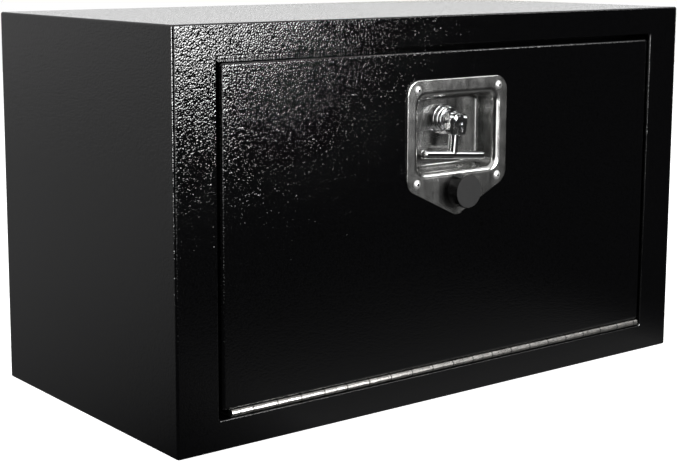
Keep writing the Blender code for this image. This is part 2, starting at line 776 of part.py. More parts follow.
def build_spindle(turn_axis):
    """Spindle with its head, the cam, the washer and the nut that hold it."""
    middle = (0, spindle_height)
    head = flatted(round_outline(head_radius, middle))
    square = sided_outline(2 * cam_square_half, square_sides, middle)
    washer_near = cam_back + seat_gap
    nut_near = washer_near + cam_washer_sheet + seat_gap
    nut_far = nut_near + cam_nut_length
    shoulder = cam_front - seat_gap
    hub_back = hub_front + hub_length
    sections = [(head, -head_proud), (head, hub_front)]
    for inset, depth in reversed(bend(hub_edge)):
        sections.append((round_outline(hub_radius - inset, middle), hub_front + depth))
    sections += [(round_outline(hub_radius, middle), hub_back),
                 (round_outline(journal_radius, middle), hub_back),
                 (round_outline(journal_radius, middle), bush_back),
                 (round_outline(shaft_radius, middle), bush_back),
                 (round_outline(shaft_radius, middle), shoulder),
                 (square, shoulder), (square, cam_back),
                 (round_outline(thread_radius, middle), cam_back),
                 (round_outline(thread_radius, middle), nut_far + thread_spare)]
    rings = [facing(outline, depth) for outline, depth in sections]
    spindle = add_piece("latch_spindle", loft(rings), polished, turn_axis, spindle_origin)

    bore = cylinder_through(plug_radius + plug_clearance, middle,
                            -head_proud - cut_overrun, plug_length)
    combine(spindle, add_cutter("plug_bore", bore, turn_axis, spindle_origin), "DIFFERENCE")
    pins = []
    for side in (-1, 1):
        ring = round_outline(pivot_radius + pivot_clearance,
                             (fold_depth, spindle_height + fold_rise), small_flats)
        pins.append(loft([side_on(ring, side * (head_half_width - pivot_seat - seat_gap)),
                          side_on(ring, side * (head_half_width + cut_overrun))]))
    cutter = add_cutter("pivot_sockets", gather(pins), turn_axis, spindle_origin)
    combine(spindle, cutter, "DIFFERENCE")

    cam_angle = math.asin((cam_root_radius - cam_tip_radius) / (cam_reach - cam_tip_radius))
    tip = (0, spindle_height + cam_reach - cam_tip_radius)
    outline = []
    for centre, radius, start, end in (
            (tip, cam_tip_radius, cam_angle, math.pi - cam_angle),
            (middle, cam_root_radius, math.pi - cam_angle, math.tau + cam_angle)):
        steps = small_flats
        for step in range(steps + 1):
            angle = start + (end - start) * step / steps
            outline.append((centre[0] + radius * math.cos(angle),
                            centre[1] + radius * math.sin(angle)))
    cam = add_piece("latch_cam", loft([facing(outline, cam_front), facing(outline, cam_back)]),
                    zinc, turn_axis, spindle_origin)
    hole = sided_outline(2 * (cam_square_half + seat_gap), square_sides, middle)
    hole = loft([facing(hole, cam_front - cut_overrun), facing(hole, cam_back + cut_overrun)])
    combine(cam, add_cutter("cam_hole", hole, turn_axis, spindle_origin), "DIFFERENCE")

    inner = round_outline(thread_radius + seat_gap, middle)
    outer = round_outline(cam_washer_radius, middle)
    washer_far = washer_near + cam_washer_sheet
    washer = sleeve([(outer, washer_near), (outer, washer_far),
                     (inner, washer_far), (inner, washer_near)])
    add_piece("cam_washer", washer, zinc, turn_axis, spindle_origin)
    nut = hex_nut(cam_nut_flats, thread_radius + seat_gap, middle, nut_near, nut_far)
    add_piece("cam_nut", nut, zinc, turn_axis, spindle_origin)

    stubs = []
    inside = head_half_width - pivot_seat
    outside = arm_outer + seat_gap
    for side in (-1, 1):
        sizes = [(pivot_radius, inside), (pivot_radius, outside), (pivot_head_radius, outside),
                 (pivot_head_radius * rivet_dome_share, outside + pivot_head)]
        stubs.append(loft([side_on(round_outline(r, (fold_depth, spindle_height + fold_rise),
                                                 small_flats), side * x) for r, x in sizes]))
    add_set("handle_pivot_pin", stubs, polished, turn_axis, spindle_origin)


def build_plug(turn_axis):
    """Round lock plug with a keyway."""
    middle = (0, spindle_height)
    face = -head_proud - plug_proud
    plug = add_piece("lock_plug", cylinder_through(plug_radius, middle, face,
                                                   plug_length - seat_gap),
                     polished, turn_axis, spindle_origin)
    half = keyway_width / 2
    outline = rect_outline((-half, half, spindle_height - keyway_height / 2,
                            spindle_height + keyway_height / 2), half / 2, 1)
    slot = loft([facing(outline, face - cut_overrun), facing(outline, face + keyway_depth)])
    combine(plug, add_cutter("keyway", slot, turn_axis, spindle_origin), "DIFFERENCE")


def build_handle(fold_axis):
    """T-handle: a yoke on two arms, its shank, and the crossbar under it."""
    height = fold_origin.z
    low = height - yoke_drop
    foot = -yoke_front + yoke_foot_share * (fold_depth + eye_radius + yoke_front)
    side = [(-yoke_front, height + eye_radius / 2), (-yoke_front, low + yoke_chamfer),
            (-yoke_front + yoke_chamfer, low), (foot, low)]
    steps = small_flats // 2
    for step in range(steps + 1):
        angle = -math.pi / 6 + (math.pi / 6 + math.pi * 2 / 3) * step / steps
        side.append((fold_depth + eye_radius * math.cos(angle),
                     height + eye_radius * math.sin(angle)))
    block = loft([side_on(side, -arm_outer), side_on(side, arm_outer)])
    yoke = add_piece("handle_yoke", block, polished, fold_axis, fold_origin)

    tall = height + 2 * eye_radius
    reach = fold_depth + 2 * eye_radius
    outline = rect_outline((-arm_outer, arm_outer, low, tall), yoke_corner)
    keep = loft([facing(outline, -yoke_front - cut_overrun), facing(outline, reach)])
    combine(yoke, add_cutter("yoke_front_view", keep, fold_axis, fold_origin), "INTERSECT")
    outline = rect_outline((-arm_inner, arm_inner, low + yoke_web, tall + cut_overrun),
                           slot_corner)
    slot = loft([facing(outline, -yoke_front - 2 * cut_overrun),
                 facing(outline, reach + cut_overrun)])
    combine(yoke, add_cutter("yoke_slot", slot, fold_axis, fold_origin), "DIFFERENCE")

    bar_height = height - crossbar_drop
    shank_depth = shank_radius - yoke_front
    rings = [upright_ring(shank_radius, 0, front + shank_depth, z, round_flats)
             for z in (low + yoke_web / 2, bar_height)]
    shank = add_cutter("shank", loft(rings), fold_axis, fold_origin)
    combine(yoke, shank, "UNION")
    bar_hole = loft([side_on(round_outline(crossbar_radius + seat_gap,
                                           (crossbar_depth, bar_height)), x)
                     for x in (-2 * shank_radius, 2 * shank_radius)])
    combine(yoke, add_cutter("crossbar_saddle", bar_hole, fold_axis, fold_origin),
            "DIFFERENCE")
    eye = loft([side_on(round_outline(pivot_radius + pivot_clearance, (fold_depth, height),
                                      small_flats), x)
                for x in (-arm_outer - cut_overrun, arm_outer + cut_overrun)])
    combine(yoke, add_cutter("pivot_eyes", eye, fold_axis, fold_origin), "DIFFERENCE")

    half = crossbar_length / 2
    edge = crossbar_radius * crossbar_edge_share
    sizes = [(crossbar_radius - edge, -half), (crossbar_radius, -half + edge),
             (crossbar_radius, half - edge), (crossbar_radius - edge, half)]
    bar = loft([side_on(round_outline(r, (crossbar_depth, bar_height)), x) for r, x in sizes])
    add_piece("handle_crossbar", bar, polished, fold_axis, fold_origin)


def build_studs(door_axis):
    """Headed studs that hold the ends of the two door stays."""
    places = (("body_stay_stud", (opening[1] + stop[1]) / 2, stop[3] - body_stud_drop,
               jamb_depth + sheet + seat_gap, None),
              ("door_stay_stud", door[1] - door_stud_inset, door[3] - door_stud_drop,
               door_thickness + seat_gap, door_axis))
    for name, reach, height, seat, axis in places:
        neck = seat + stud_base
        head = neck + stud_neck
        profile = [(stud_base_radius, seat), (stud_base_radius, neck), (stud_neck_radius, neck),
                   (stud_neck_radius, head), (stud_head_radius, head),
                   (stud_head_radius, head + stud_head)]
        for side, x in (("left", -reach), ("right", reach)):
            add_piece(f"{side}_{name}", turned(profile, (x, height), small_flats), zinc,
                      axis, hinge_origin)


def main():
    """Build the tool box, closed and locked."""
    for item in list(bpy.data.objects):
        bpy.data.objects.remove(item)
    door_axis = add_axis("door_hinge_axis", hinge_origin)
    turn_axis = add_axis("handle_turn_axis", spindle_origin, door_axis, hinge_origin, handle_tilt)
    fold_axis = add_axis("handle_fold_axis", fold_origin, turn_axis, spindle_origin)
    frame = build_shell()
    build_seal()
    build_keeper()
    skin = build_door(door_axis)
    build_hinge(frame, skin, door_axis)
    build_latch_plate(skin, door_axis)
    build_collar(door_axis)
    build_bumper(door_axis)
    build_spindle(turn_axis)
    build_plug(turn_axis)
    build_handle(fold_axis)
    build_studs(door_axis)


main()
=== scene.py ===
"""Finish of the underbody tool box: its welded shell, door, hinge, latch and studio."""

import logging
import math
from dataclasses import dataclass
from enum import Enum
from typing import Callable, Dict, List, Optional, Sequence, Tuple, Union

import bmesh
import bpy
from mathutils import Matrix, Vector


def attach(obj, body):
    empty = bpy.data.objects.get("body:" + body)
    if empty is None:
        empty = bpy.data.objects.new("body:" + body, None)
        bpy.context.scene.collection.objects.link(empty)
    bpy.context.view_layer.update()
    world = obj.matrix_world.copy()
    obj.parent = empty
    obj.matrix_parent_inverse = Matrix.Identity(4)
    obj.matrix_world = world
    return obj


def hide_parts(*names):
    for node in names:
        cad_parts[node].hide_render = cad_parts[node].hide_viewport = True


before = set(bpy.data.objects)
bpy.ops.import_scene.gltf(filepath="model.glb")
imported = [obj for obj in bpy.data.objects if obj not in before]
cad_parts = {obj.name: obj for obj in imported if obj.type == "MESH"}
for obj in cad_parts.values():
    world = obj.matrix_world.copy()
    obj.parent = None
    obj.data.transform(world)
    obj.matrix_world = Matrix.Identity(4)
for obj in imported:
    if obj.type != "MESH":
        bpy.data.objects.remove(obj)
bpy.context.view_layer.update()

log = logging.getLogger("tool_box")

Pair = Tuple[float, float]
Point = Tuple[float, float, float]
Rect = Tuple[float, float, float, float]
Sockets = Dict[Union[str, int], object]
Test = Callable[[Vector, Vector], bool]
Value = Union["Wire", float]

MM = 0.001
FRONT = -152.4 * MM
SPINDLE = (0.0, FRONT, 259.0 * MM)
REST_TURN = math.radians(5.2)
DEPTH = (0, 1, 0)
UPRIGHT = (math.pi / 2, 0, 0)
SPARE = 5 * MM  # how far a cutting block reaches past the piece
FINE = 0.01 * MM
ALIGNED, SQUARE = 0.9, 0.1  # shares of a direction that lies along, or across, an axis


class Body(Enum):
    """CAD bodies that pieces ride on."""

    BOX = "root"
    DOOR = "door"
    SPINDLE = "spindle"
    HANDLE = "handle"
    PLUG = "plug"


class Slot(Enum):
    """Material slots of the record."""

    COAT = "black_coat"
    SATIN = "satin_stainless"
    BRIGHT = "bright_stainless"
    CHROME = "chrome"
    ZINC = "zinc_plate"
    RUBBER = "black_rubber"


class Pick(Enum):
    """Kinds of mesh element that can be selected."""

    CORNER = "VERT"
    EDGE = "EDGE"
    FACE = "FACE"


def maths(operation: str, turned: bool = False) -> Callable[["Wire", Value], "Wire"]:
    """Operator that adds a Math node, with its sides turned round where it's asked for."""
    return lambda wire, other: wire.graph.add("ShaderNodeMath", {"operation": operation},
                                              {int(turned): wire, int(not turned): other})


class Wire:
    """Output of a shader node, for sums written as Python expressions."""

    def __init__(self, graph: "Graph", socket: Optional[bpy.types.NodeSocket]) -> None:
        """Hold a socket and the graph that it belongs to."""
        self.graph = graph
        self.socket = socket

    __add__ = __radd__ = maths("ADD")
    __mul__ = __rmul__ = maths("MULTIPLY")
    __sub__, __rsub__ = maths("SUBTRACT"), maths("SUBTRACT", turned=True)
    __truediv__, __pow__ = maths("DIVIDE"), maths("POWER")
    at_least, at_most = maths("MAXIMUM"), maths("MINIMUM")

    def held(self, low: float = 0.0, high: float = 1.0) -> "Wire":
        """Keep the value between two limits."""
        return self.at_least(low).at_most(high)

    def sway(self, amount: float) -> "Wire":
        """Swing about zero of a pattern that runs from 0 to 1."""
        return (self - 0.5) * amount


@dataclass(frozen=True)
class Pattern:
    """Noise over a surface, and how far it sways the gloss and the tone."""

    size: float
    detail: float
    gloss: float = 0.0
    tone: float = 0.0
    distortion: float = 0.0
    stretch: Point = (1.0, 1.0, 1.0)


class Graph:
    """Node tree of a material or of the world."""

    def __init__(self, tree: bpy.types.NodeTree) -> None:
        """Start with an empty tree."""
        self.tree = tree
        self.tree.nodes.clear()

    def add(self, kind: str, settings: Optional[Dict[str, object]] = None,
            sockets: Optional[Sockets] = None, output: Union[str, int] = 0) -> Wire:
        """Add a node.

        Args:
            kind: The node's type.
            settings: Its settings, set before its sockets.
            sockets: Values or wires of its inputs, by name or number.
            output: Name or number of the output that is wanted.

        Returns:
            That output, or an empty wire where the node has none.
        """
        made = self.tree.nodes.new(kind)
        for name, value in (settings or {}).items():
            setattr(made, name, value)
        for name, value in (sockets or {}).items():
            if isinstance(value, Wire):
                self.tree.links.new(value.socket, made.inputs[name])
            else:
                made.inputs[name].default_value = value
        return Wire(self, made.outputs[output] if len(made.outputs) else None)

    def place(self, stretch: Point = (1.0, 1.0, 1.0)) -> Wire:
        """Object coordinates, stretched along each axis."""
        spot = self.add("ShaderNodeTexCoord", output="Object")
        return self.add("ShaderNodeMapping", {}, {"Vector": spot, "Scale": stretch})

    def axis(self, number: int, where: Optional[Wire] = None) -> Wire:
        """Coordinate along X, Y or Z, numbered from 0."""
        return self.add("ShaderNodeSeparateXYZ", {}, {0: where or self.place()}, number)

    def noise(self, pattern: Pattern) -> Wire:
        """Noise of a pattern, from 0 to 1."""
        return self.add("ShaderNodeTexNoise", {"noise_dimensions": "3D"},
                        {"Vector": self.place(pattern.stretch), "Scale": 1 / pattern.size,
                         "Detail": pattern.detail, "Distortion": pattern.distortion})

    def mix(self, share: Value, low: Union[Wire, Sequence[float]],
            high: Union[Wire, Sequence[float]]) -> Wire:
        """Blend of two colours."""
        ends = [end if isinstance(end, Wire) else (*end, 1) for end in (low, high)]
        return self.add("ShaderNodeMix", {"data_type": "RGBA"},
                        {0: share, 6: ends[0], 7: ends[1]}, 2)

    def bump(self, height: Wire, relief: float, under: Optional[Wire] = None) -> Wire:
        """Normal of a relief.

        Args:
            height: Height from 0 to 1.
            relief: What a height of 1 measures, in metres.
            under: Normal of a coarser relief below it.

        Returns:
            The normal.
        """
        sockets: Sockets = {"Height": height, "Distance": relief}
        if under:
            sockets["Normal"] = under
        return self.add("ShaderNodeBump", {}, sockets)


@dataclass(frozen=True)
class Finish:
    """Surface finish of noise patterns, the first of which is its relief."""

    name: str
    slot: Slot
    dark: Point
    light: Point
    roughness: float
    relief: float
    patterns: Tuple[Pattern, ...]
    limits: Pair = (0.04, 0.8)
    metal: float = 1.0
    ior: float = 1.5

    def shade(self, graph: Graph) -> Sockets:
        """Sway the colour and the gloss with each pattern.

        Args:
            graph: Node tree to add to.

        Returns:
            Values and wires of the shader, by socket name.
        """
        noises = [(pattern, graph.noise(pattern)) for pattern in self.patterns]
        tone = sum((noise.sway(pattern.tone) for pattern, noise in noises if pattern.tone), 0.5)
        gloss = sum((noise.sway(pattern.gloss) for pattern, noise in noises if pattern.gloss),
                    self.roughness)
        return {"Base Color": self.colour(graph, tone.held()),
                "Roughness": self.polish(graph, gloss).held(*self.limits),
                "Metallic": self.metal, "IOR": self.ior,
                "Normal": graph.bump(noises[0][1], self.relief)}

    def colour(self, graph: Graph, tone: Wire) -> Wire:
        """Colour of a tone from 0 to 1."""
        return graph.mix(tone, self.dark, self.light)

    def polish(self, graph: Graph, gloss: Wire) -> Wire:
        """Roughness where some places are smoother than the rest: here, none."""
        return gloss

    def make(self) -> bpy.types.Material:
        """Make the material, unless it's there already.

        Returns:
            The material.
        """
        found = bpy.data.materials.get(self.name)
        if found:
            return found
        material = bpy.data.materials.new(self.name)
        material.use_nodes = True
        graph = Graph(material.node_tree)
        shader = graph.add("ShaderNodeBsdfPrincipled", {}, self.shade(graph))
        graph.add("ShaderNodeOutputMaterial", {}, {"Surface": shader})
        material.diffuse_color = (*self.light, 1)
        return material


@dataclass(frozen=True)
class PowderCoat(Finish):
    """Semi-gloss black powder coat. Its patterns are a fine grain and slow changes of gloss."""

    wrinkle: float = 1.55 * MM
    wrinkle_relief: float = 0.122 * MM
    bend: float = 2.0 * MM
    blend: float = 0.45
    steepness: float = 1.2
    # strength of the painted shade in the wrinkle's valleys
    valley_shade: float = 1.6

    def shade(self, graph: Graph) -> Sockets:
        """Lay a bent wrinkle under the grain, with painted shade darkening its valleys.

        Args:
            graph: Node tree to add to.

        Returns:
            Values and wires of the shader, by socket name.
        """
        where = graph.place()
        warp = graph.add("ShaderNodeTexNoise", {}, {"Vector": where, "Detail": 1.0,
                                                    "Scale": 0.5 / self.wrinkle}, "Color")
        bent = graph.add("ShaderNodeVectorMath", {"operation": "MULTIPLY_ADD"},
                         {0: warp, 1: [self.bend] * 3, 2: where})
        cells = graph.add("ShaderNodeTexVoronoi", {"feature": "SMOOTH_F1"},
                          {"Vector": bent, "Scale": 1 / self.wrinkle, "Smoothness": self.blend})
        wrinkle = (1 - cells * self.steepness).held()
        coarse = graph.bump(wrinkle, self.wrinkle_relief)
        grain, slow = (graph.noise(pattern) for pattern in self.patterns)
        gloss = (self.roughness + slow.sway(self.patterns[1].gloss)
                 + grain.sway(self.patterns[0].gloss))
        # painted shade: the base colour darkens in the wrinkle's valleys
        return {"Base Color": graph.mix((1 - wrinkle * self.valley_shade).held(), self.light, self.dark),
                "Roughness": gloss.held(*self.limits), "Metallic": self.metal,
                "IOR": self.ior, "Normal": graph.bump(grain, self.relief, coarse)}


@dataclass(frozen=True)
class MarkedSteel(Finish):
    """Steel that a mask darkens. As it stands, the piece's own marks are the mask, and the dark
    that it lays on a rivet's hole is painted shade.
    """

    # dark colour that the mask lays on: here painted shade in a rivet's hole
    shade_and_joint_colour: Point = (0.01, 0.01, 0.01)
    mark: str = "hole"

    def mask(self, graph: Graph) -> Wire:
        """How much of the dark colour shows: here, what the piece marks, as painted shade."""
        return graph.add("ShaderNodeAttribute", {"attribute_name": self.mark}, {}, "Fac")

    def colour(self, graph: Graph, tone: Wire) -> Wire:
        """Colour of a tone, with the mask's dark colour laid over it."""
        return graph.mix(self.mask(graph), super().colour(graph, tone), self.shade_and_joint_colour)


@dataclass(frozen=True)
class PressedSteel(MarkedSteel):
    """Brushed steel with painted shade that darkens it deeper into a recess."""

    # grey of the painted shade in the recess
    shade_and_joint_colour: Point = (0.08, 0.08, 0.08)
    deep: float = 16 * MM
    recess_shade: float = 0.5

    def mask(self, graph: Graph) -> Wire:
        """Painted shade, stronger with the depth behind the front plane."""
        # painted shade grows with the depth into the recess
        return ((graph.axis(1) - FRONT) / self.deep).held() * self.recess_shade


@dataclass(frozen=True)
class KnuckleSteel(MarkedSteel):
    """Bright steel of a continuous hinge, with the joints between its knuckles."""

    shade_and_joint_colour: Point = (0.02, 0.02, 0.02)
    pitch: float = 12.7 * MM
    joint: float = 1.2 * MM
    shares: Pair = (0.35, 0.65)

    def mask(self, graph: Graph) -> Wire:
        """A thin line at each joint, stronger at every second one.

        Args:
            graph: Node tree to add to.

        Returns:
            The mask.
        """
        along = graph.axis(0)
        lines = [graph.add("ShaderNodeMath", {"operation": "PINGPONG"}, {0: along, 1: reach})
                 for reach in (self.pitch / 2, self.pitch)]
        faint, strong = ((1 - line / self.joint).held() * share
                         for line, share in zip(lines, self.shares))
        return (faint + strong).held()


@dataclass(frozen=True)
class Rubber(Finish):
    """Moulded black rubber with a dusty bloom, dull where it has been worn from the front."""

    worn_to: float = FRONT - 17.1 * MM
    worn_edge: float = 0.3 * MM
    moulded_gloss: float = 0.60

    def polish(self, graph: Graph, gloss: Wire) -> Wire:
        """Roughness, less on the wall behind the worn face."""
        wall = ((graph.axis(1) - self.worn_to) / self.worn_edge).held()
        return gloss - wall * self.moulded_gloss


COAT = PowderCoat(
    "black_powder_coat", Slot.COAT, (0.0006, 0.0006, 0.0007), (0.0013, 0.0013, 0.0015), 0.07,
    0.036 * MM, (Pattern(0.9 * MM, 1.0, 0.03), Pattern(70 * MM, 3.0, 0.02)), (0.03, 0.95),
    0.0, 1.65)

WEAR = (Pattern(5 * MM, 2.0, 0.06, 0.6, stretch=(1.0, 1.0, 0.08)),
        Pattern(14 * MM, 3.0, 0.10, 1.4, 0.5), Pattern(2.5 * MM, 2.0, 0.03))
# satin plate with painted shade that darkens its recess with depth
SATIN = PressedSteel(
    "satin_stainless_steel", Slot.SATIN, (0.52, 0.52, 0.505), (0.80, 0.80, 0.785), 0.19,
    0.004 * MM, (Pattern(0.35 * MM, 2.0, 0.08, 0.3, stretch=(1.0, 1.0, 0.03)),) + WEAR)
# rivet steel with painted shade in the mandrel's hole, read from the marks
RIVET_STEEL = MarkedSteel(
    "rivet_steel", Slot.BRIGHT, (0.74, 0.74, 0.73), (0.88, 0.88, 0.87), 0.46,
    0.004 * MM, (Pattern(0.8 * MM, 2.0, 0.08, 0.3),) + WEAR)
BRIGHT = Finish(
    "bright_stainless_steel", Slot.BRIGHT, (0.62, 0.62, 0.61), (0.80, 0.80, 0.79), 0.16,
    0.006 * MM, (Pattern(0.8 * MM, 2.0, 0.10, 0.3),) + WEAR)
HINGE_STEEL = KnuckleSteel(
    "hinge_steel", Slot.BRIGHT, (0.30, 0.29, 0.275), (0.46, 0.45, 0.43), 0.30,
    0.006 * MM, (Pattern(0.8 * MM, 2.0, 0.10, 0.3),) + WEAR)
CHROME = Finish(
    "chrome_plate", Slot.CHROME, (0.74, 0.745, 0.75), (0.90, 0.90, 0.905), 0.084,
    0.01 * MM, (Pattern(3 * MM, 1.0), Pattern(5 * MM, 4.0, 0.08, 1.0, 0.8)), (0.02, 0.6))
ZINC = Finish(
    "zinc_plated_steel", Slot.ZINC, (0.46, 0.47, 0.49), (0.66, 0.67, 0.69), 0.36,
    0.02 * MM, (Pattern(0.5 * MM, 2.0, 0.1), Pattern(3.5 * MM, 4.0, 0.2, 1.0, 0.6)), (0.1, 0.9))

MOULDED_GRAIN = Pattern(0.35 * MM, 2.0, 0.1)
RUBBER = Rubber(
    "moulded_rubber", Slot.RUBBER, (0.002, 0.002, 0.0021), (0.005, 0.005, 0.0053), 0.76,
    0.03 * MM, (MOULDED_GRAIN, Pattern(9 * MM, 3.0, 0.2, 1.0, 0.5)), (0.08, 1.0), 0.0)
SEAL_RUBBER = Rubber(
    "seal_rubber", Slot.RUBBER, (0.010, 0.010, 0.010), (0.020, 0.020, 0.021), 0.55,
    0.03 * MM, (MOULDED_GRAIN, Pattern(9 * MM, 3.0, 0.15, 1.0, 0.5)), (0.08, 1.0), 0.0)


def arc(middle: Pair, radius: float, start: float, end: float, steps: int) -> List[Pair]:
    """Points of an arc.

    Args:
        middle: Centre of the arc.
        radius: Its radius.
        start: First angle, in degrees.
        end: Last angle, in degrees.
        steps: Number of chords.

    Returns:
        Points from the first angle to the last.
    """
    angles = [math.radians(start + (end - start) * i / steps) for i in range(steps + 1)]
    return [(middle[0] + radius * math.cos(a), middle[1] + radius * math.sin(a)) for a in angles]


def quarter_turn(radius: float, steps: int, hollow: bool = False) -> List[Pair]:
    """Inset steps round a quarter turn, from a face down into a hole.

    Args:
        radius: Radius of the turn.
        steps: Number of steps.
        hollow: Whether it's the hollow corner at the floor and not the rounded mouth.

    Returns:
        Thickness and depth of each inset.
    """
    turns = [math.pi / 2 * i / steps for i in range(steps + 1)]
    mouth = [(radius * (math.sin(b) - math.sin(a)), -radius * (math.cos(a) - math.cos(b)))
             for a, b in zip(turns, turns[1:])]
    return [(-depth, -thickness) for thickness, depth in mouth] if hollow else mouth


def in_metres(points: Sequence[Pair]) -> List[Pair]:
    """Points given in millimetres, in metres."""
    return [(x * MM, y * MM) for x, y in points]


def fitted(rect: Rect, depth: float) -> Tuple[Point, Point]:
    """Middle and size of an upright rectangle at a depth behind the front plane."""
    left, right, low, high = rect
    return ((left + right) / 2, FRONT + depth, (low + high) / 2), (right - left, 1, high - low)


def near(value: float, target: float, slack: float = 0.05 * MM) -> bool:
    """Whether two lengths are the same to within a slack."""
    return abs(value - target) < slack


def faces_front(place: Vector, way: Vector) -> bool:
    """Whether a face looks to the front."""
    return way.y < -ALIGNED


def runs_deep(place: Vector, way: Vector) -> bool:
    """Whether an edge runs from front to back."""
    return abs(way.y) > ALIGNED


def runs_across(place: Vector, way: Vector) -> bool:
    """Whether an edge runs from left to right."""
    return abs(way.x) > ALIGNED


def lies_upright(place: Vector, way: Vector) -> bool:
    """Whether an edge lies in a plane that faces the front."""
    return abs(way.y) < SQUARE


def at(x: Optional[float] = None, y: Optional[float] = None, z: Optional[float] = None,
       slack: float = 0.05 * MM) -> Test:
    """Test for what has some coordinates, to within a slack."""
    return lambda place, way: all(goal is None or near(value, goal, slack)
                                  for value, goal in zip(place, (x, y, z)))


def both(first: Test, second: Test) -> Test:
    """Test for what passes two tests."""
    return lambda place, way: first(place, way) and second(place, way)


def on_outline(place: Vector, way: Vector, rect: Rect, corner: float) -> bool:
    """Whether an edge runs along the outline of a rounded rectangle.

    Args:
        place: Middle of the edge.
        way: Its direction.
        rect: Left, right, low and high sides.
        corner: Radius of the corners.

    Returns:
        Whether it does.
    """
    left, right, low, high = rect
    if not (left - MM < place.x < right + MM and low - MM < place.z < high + MM):
        return False
    if near(place.x, left) or near(place.x, right):
        return abs(way.z) > ALIGNED
    if near(place.z, low) or near(place.z, high):
        return abs(way.x) > ALIGNED
    out = place - Vector((left + corner if place.x < 0 else right - corner, place.y,
                          low + corner if place.z < (low + high) / 2 else high - corner))
    return near(out.length, corner, 0.3 * MM) and abs(out.normalized().dot(way)) < 3 * SQUARE


class Bench:
    """One piece on the bench, shaped in edit mode and then dressed."""

    def __init__(self) -> None:
        """Take the new primitive as the piece."""
        self.piece = bpy.context.object
        bpy.ops.object.transform_apply(location=True, rotation=True, scale=True)
        bpy.ops.object.mode_set(mode="EDIT")

    @staticmethod
    def clear() -> None:
        """Leave edit mode and select nothing."""
        if bpy.context.object is not None and bpy.context.object.mode == "EDIT":
            bpy.ops.object.mode_set(mode="OBJECT")
        bpy.ops.object.select_all(action="DESELECT")

    @staticmethod
    def everything() -> None:
        """Select the whole mesh."""
        bpy.ops.mesh.select_all(action="SELECT")

    @classmethod
    def block(cls, low: Point, high: Point) -> "Bench":
        """Start from a block.

        Args:
            low: Its lowest corner.
            high: Its highest corner.

        Returns:
            The bench with the block on it.
        """
        cls.clear()
        middle = [(a + b) / 2 for a, b in zip(low, high)]
        bpy.ops.mesh.primitive_cube_add(size=1, location=middle,
                                        scale=[b - a for a, b in zip(low, high)])
        return cls()

    @classmethod
    def panel(cls, rect: Rect, depth: float) -> "Bench":
        """Start from a flat panel that faces the front.

        Args:
            rect: Left, right, low and high sides.
            depth: Depth behind the front plane.

        Returns:
            The bench with the panel on it.
        """
        cls.clear()
        middle, size = fitted(rect, depth)
        bpy.ops.mesh.primitive_plane_add(size=1, location=middle, rotation=UPRIGHT)
        bench = cls()
        bench.everything()
        bpy.ops.transform.resize(value=size, center_override=middle)
        return bench

    @classmethod
    def rod(cls, radius: float, start: Point, end: Point, sides: int = 56) -> "Bench":
        """Start from a rod between two points.

        Args:
            radius: Radius of the rod.
            start: Middle of one end.
            end: Middle of the other.
            sides: Number of facets.

        Returns:
            The bench with the rod on it.
        """
        cls.clear()
        run = Vector(end) - Vector(start)
        bpy.ops.mesh.primitive_cylinder_add(
            vertices=sides, radius=radius, depth=run.length,
            location=(Vector(start) + Vector(end)) / 2,
            rotation=run.to_track_quat("Z", "Y").to_euler())
        return cls()

    @classmethod
    def turned(cls, profile: Sequence[Pair], middle: Point = SPINDLE, axis: Point = DEPTH,
               steps: int = 72) -> "Bench":
        """Turn a profile round an axis.

        Args:
            profile: Radius and place along the axis of each point.
            middle: Point on the axis where the place is 0.
            axis: Direction of the axis.
            steps: Number of facets.

        Returns:
            The bench with the turned piece on it.
        """
        cls.clear()
        line = Vector(axis).normalized()
        out = Vector((0, 0, 1)) if abs(line.z) < 0.5 else Vector((1, 0, 0))
        points = [Vector(middle) + line * along + out * radius for radius, along in profile]
        bpy.ops.mesh.primitive_plane_add(size=MM, location=points[0])
        bench = cls()
        bpy.ops.mesh.select_mode(type="VERT")
        bench.everything()
        bpy.ops.mesh.merge(type="CENTER")
        for here, there in zip(points, points[1:]):
            bench.push(there - here)
        bench.everything()
        bpy.ops.mesh.spin(steps=steps, angle=math.tau, center=middle, axis=line,
                          use_auto_merge=True)
        bench.close_up()
        return bench

    def take(self) -> None:
        """Select this piece alone, out of edit mode."""
        self.clear()
        self.piece.select_set(True)
        bpy.context.view_layer.objects.active = self.piece

    def face_out(self) -> None:
        """Turn every face outwards."""
        self.everything()
        bpy.ops.mesh.normals_make_consistent(inside=False)

    def close_up(self, slack: float = 0.1 * FINE) -> None:
        """Merge doubles, fill what they leave open and turn every face outwards."""
        self.everything()
        bpy.ops.mesh.remove_doubles(threshold=slack)
        bpy.ops.mesh.fill_holes(sides=0)
        self.face_out()

    def pick(self, kind: Pick, test: Test, sharper: float = 0) -> None:
        """Select the elements that pass a test.

        Args:
            kind: Corners, edges or faces.
            test: Takes the element's middle and its direction or normal.
            sharper: Angle that picked edges are sharper than, in degrees.
        """
        bpy.ops.mesh.select_mode(type=kind.value)
        bpy.ops.mesh.select_all(action="DESELECT")
        if sharper:
            bpy.ops.mesh.edges_select_sharp(sharpness=math.radians(sharper))
        mesh = bmesh.from_edit_mesh(self.piece.data)
        chosen = []
        for item in {Pick.CORNER: mesh.verts, Pick.EDGE: mesh.edges, Pick.FACE: mesh.faces}[kind]:
            if kind is Pick.EDGE:
                start, end = (corner.co for corner in item.verts)
                place, way = (start + end) / 2, (end - start).normalized()
            else:
                place = item.co if kind is Pick.CORNER else item.calc_center_median()
                way = item.normal
            if (item.select or not sharper) and test(place, way):
                chosen.append(item)
            item.select_set(False)
        for item in chosen:
            item.select_set(True)
        mesh.select_flush_mode()
        bmesh.update_edit_mesh(self.piece.data)

    def shift(self, test: Test, value: Point) -> None:
        """Move the corners that pass a test."""
        self.pick(Pick.CORNER, test)
        bpy.ops.transform.translate(value=value)

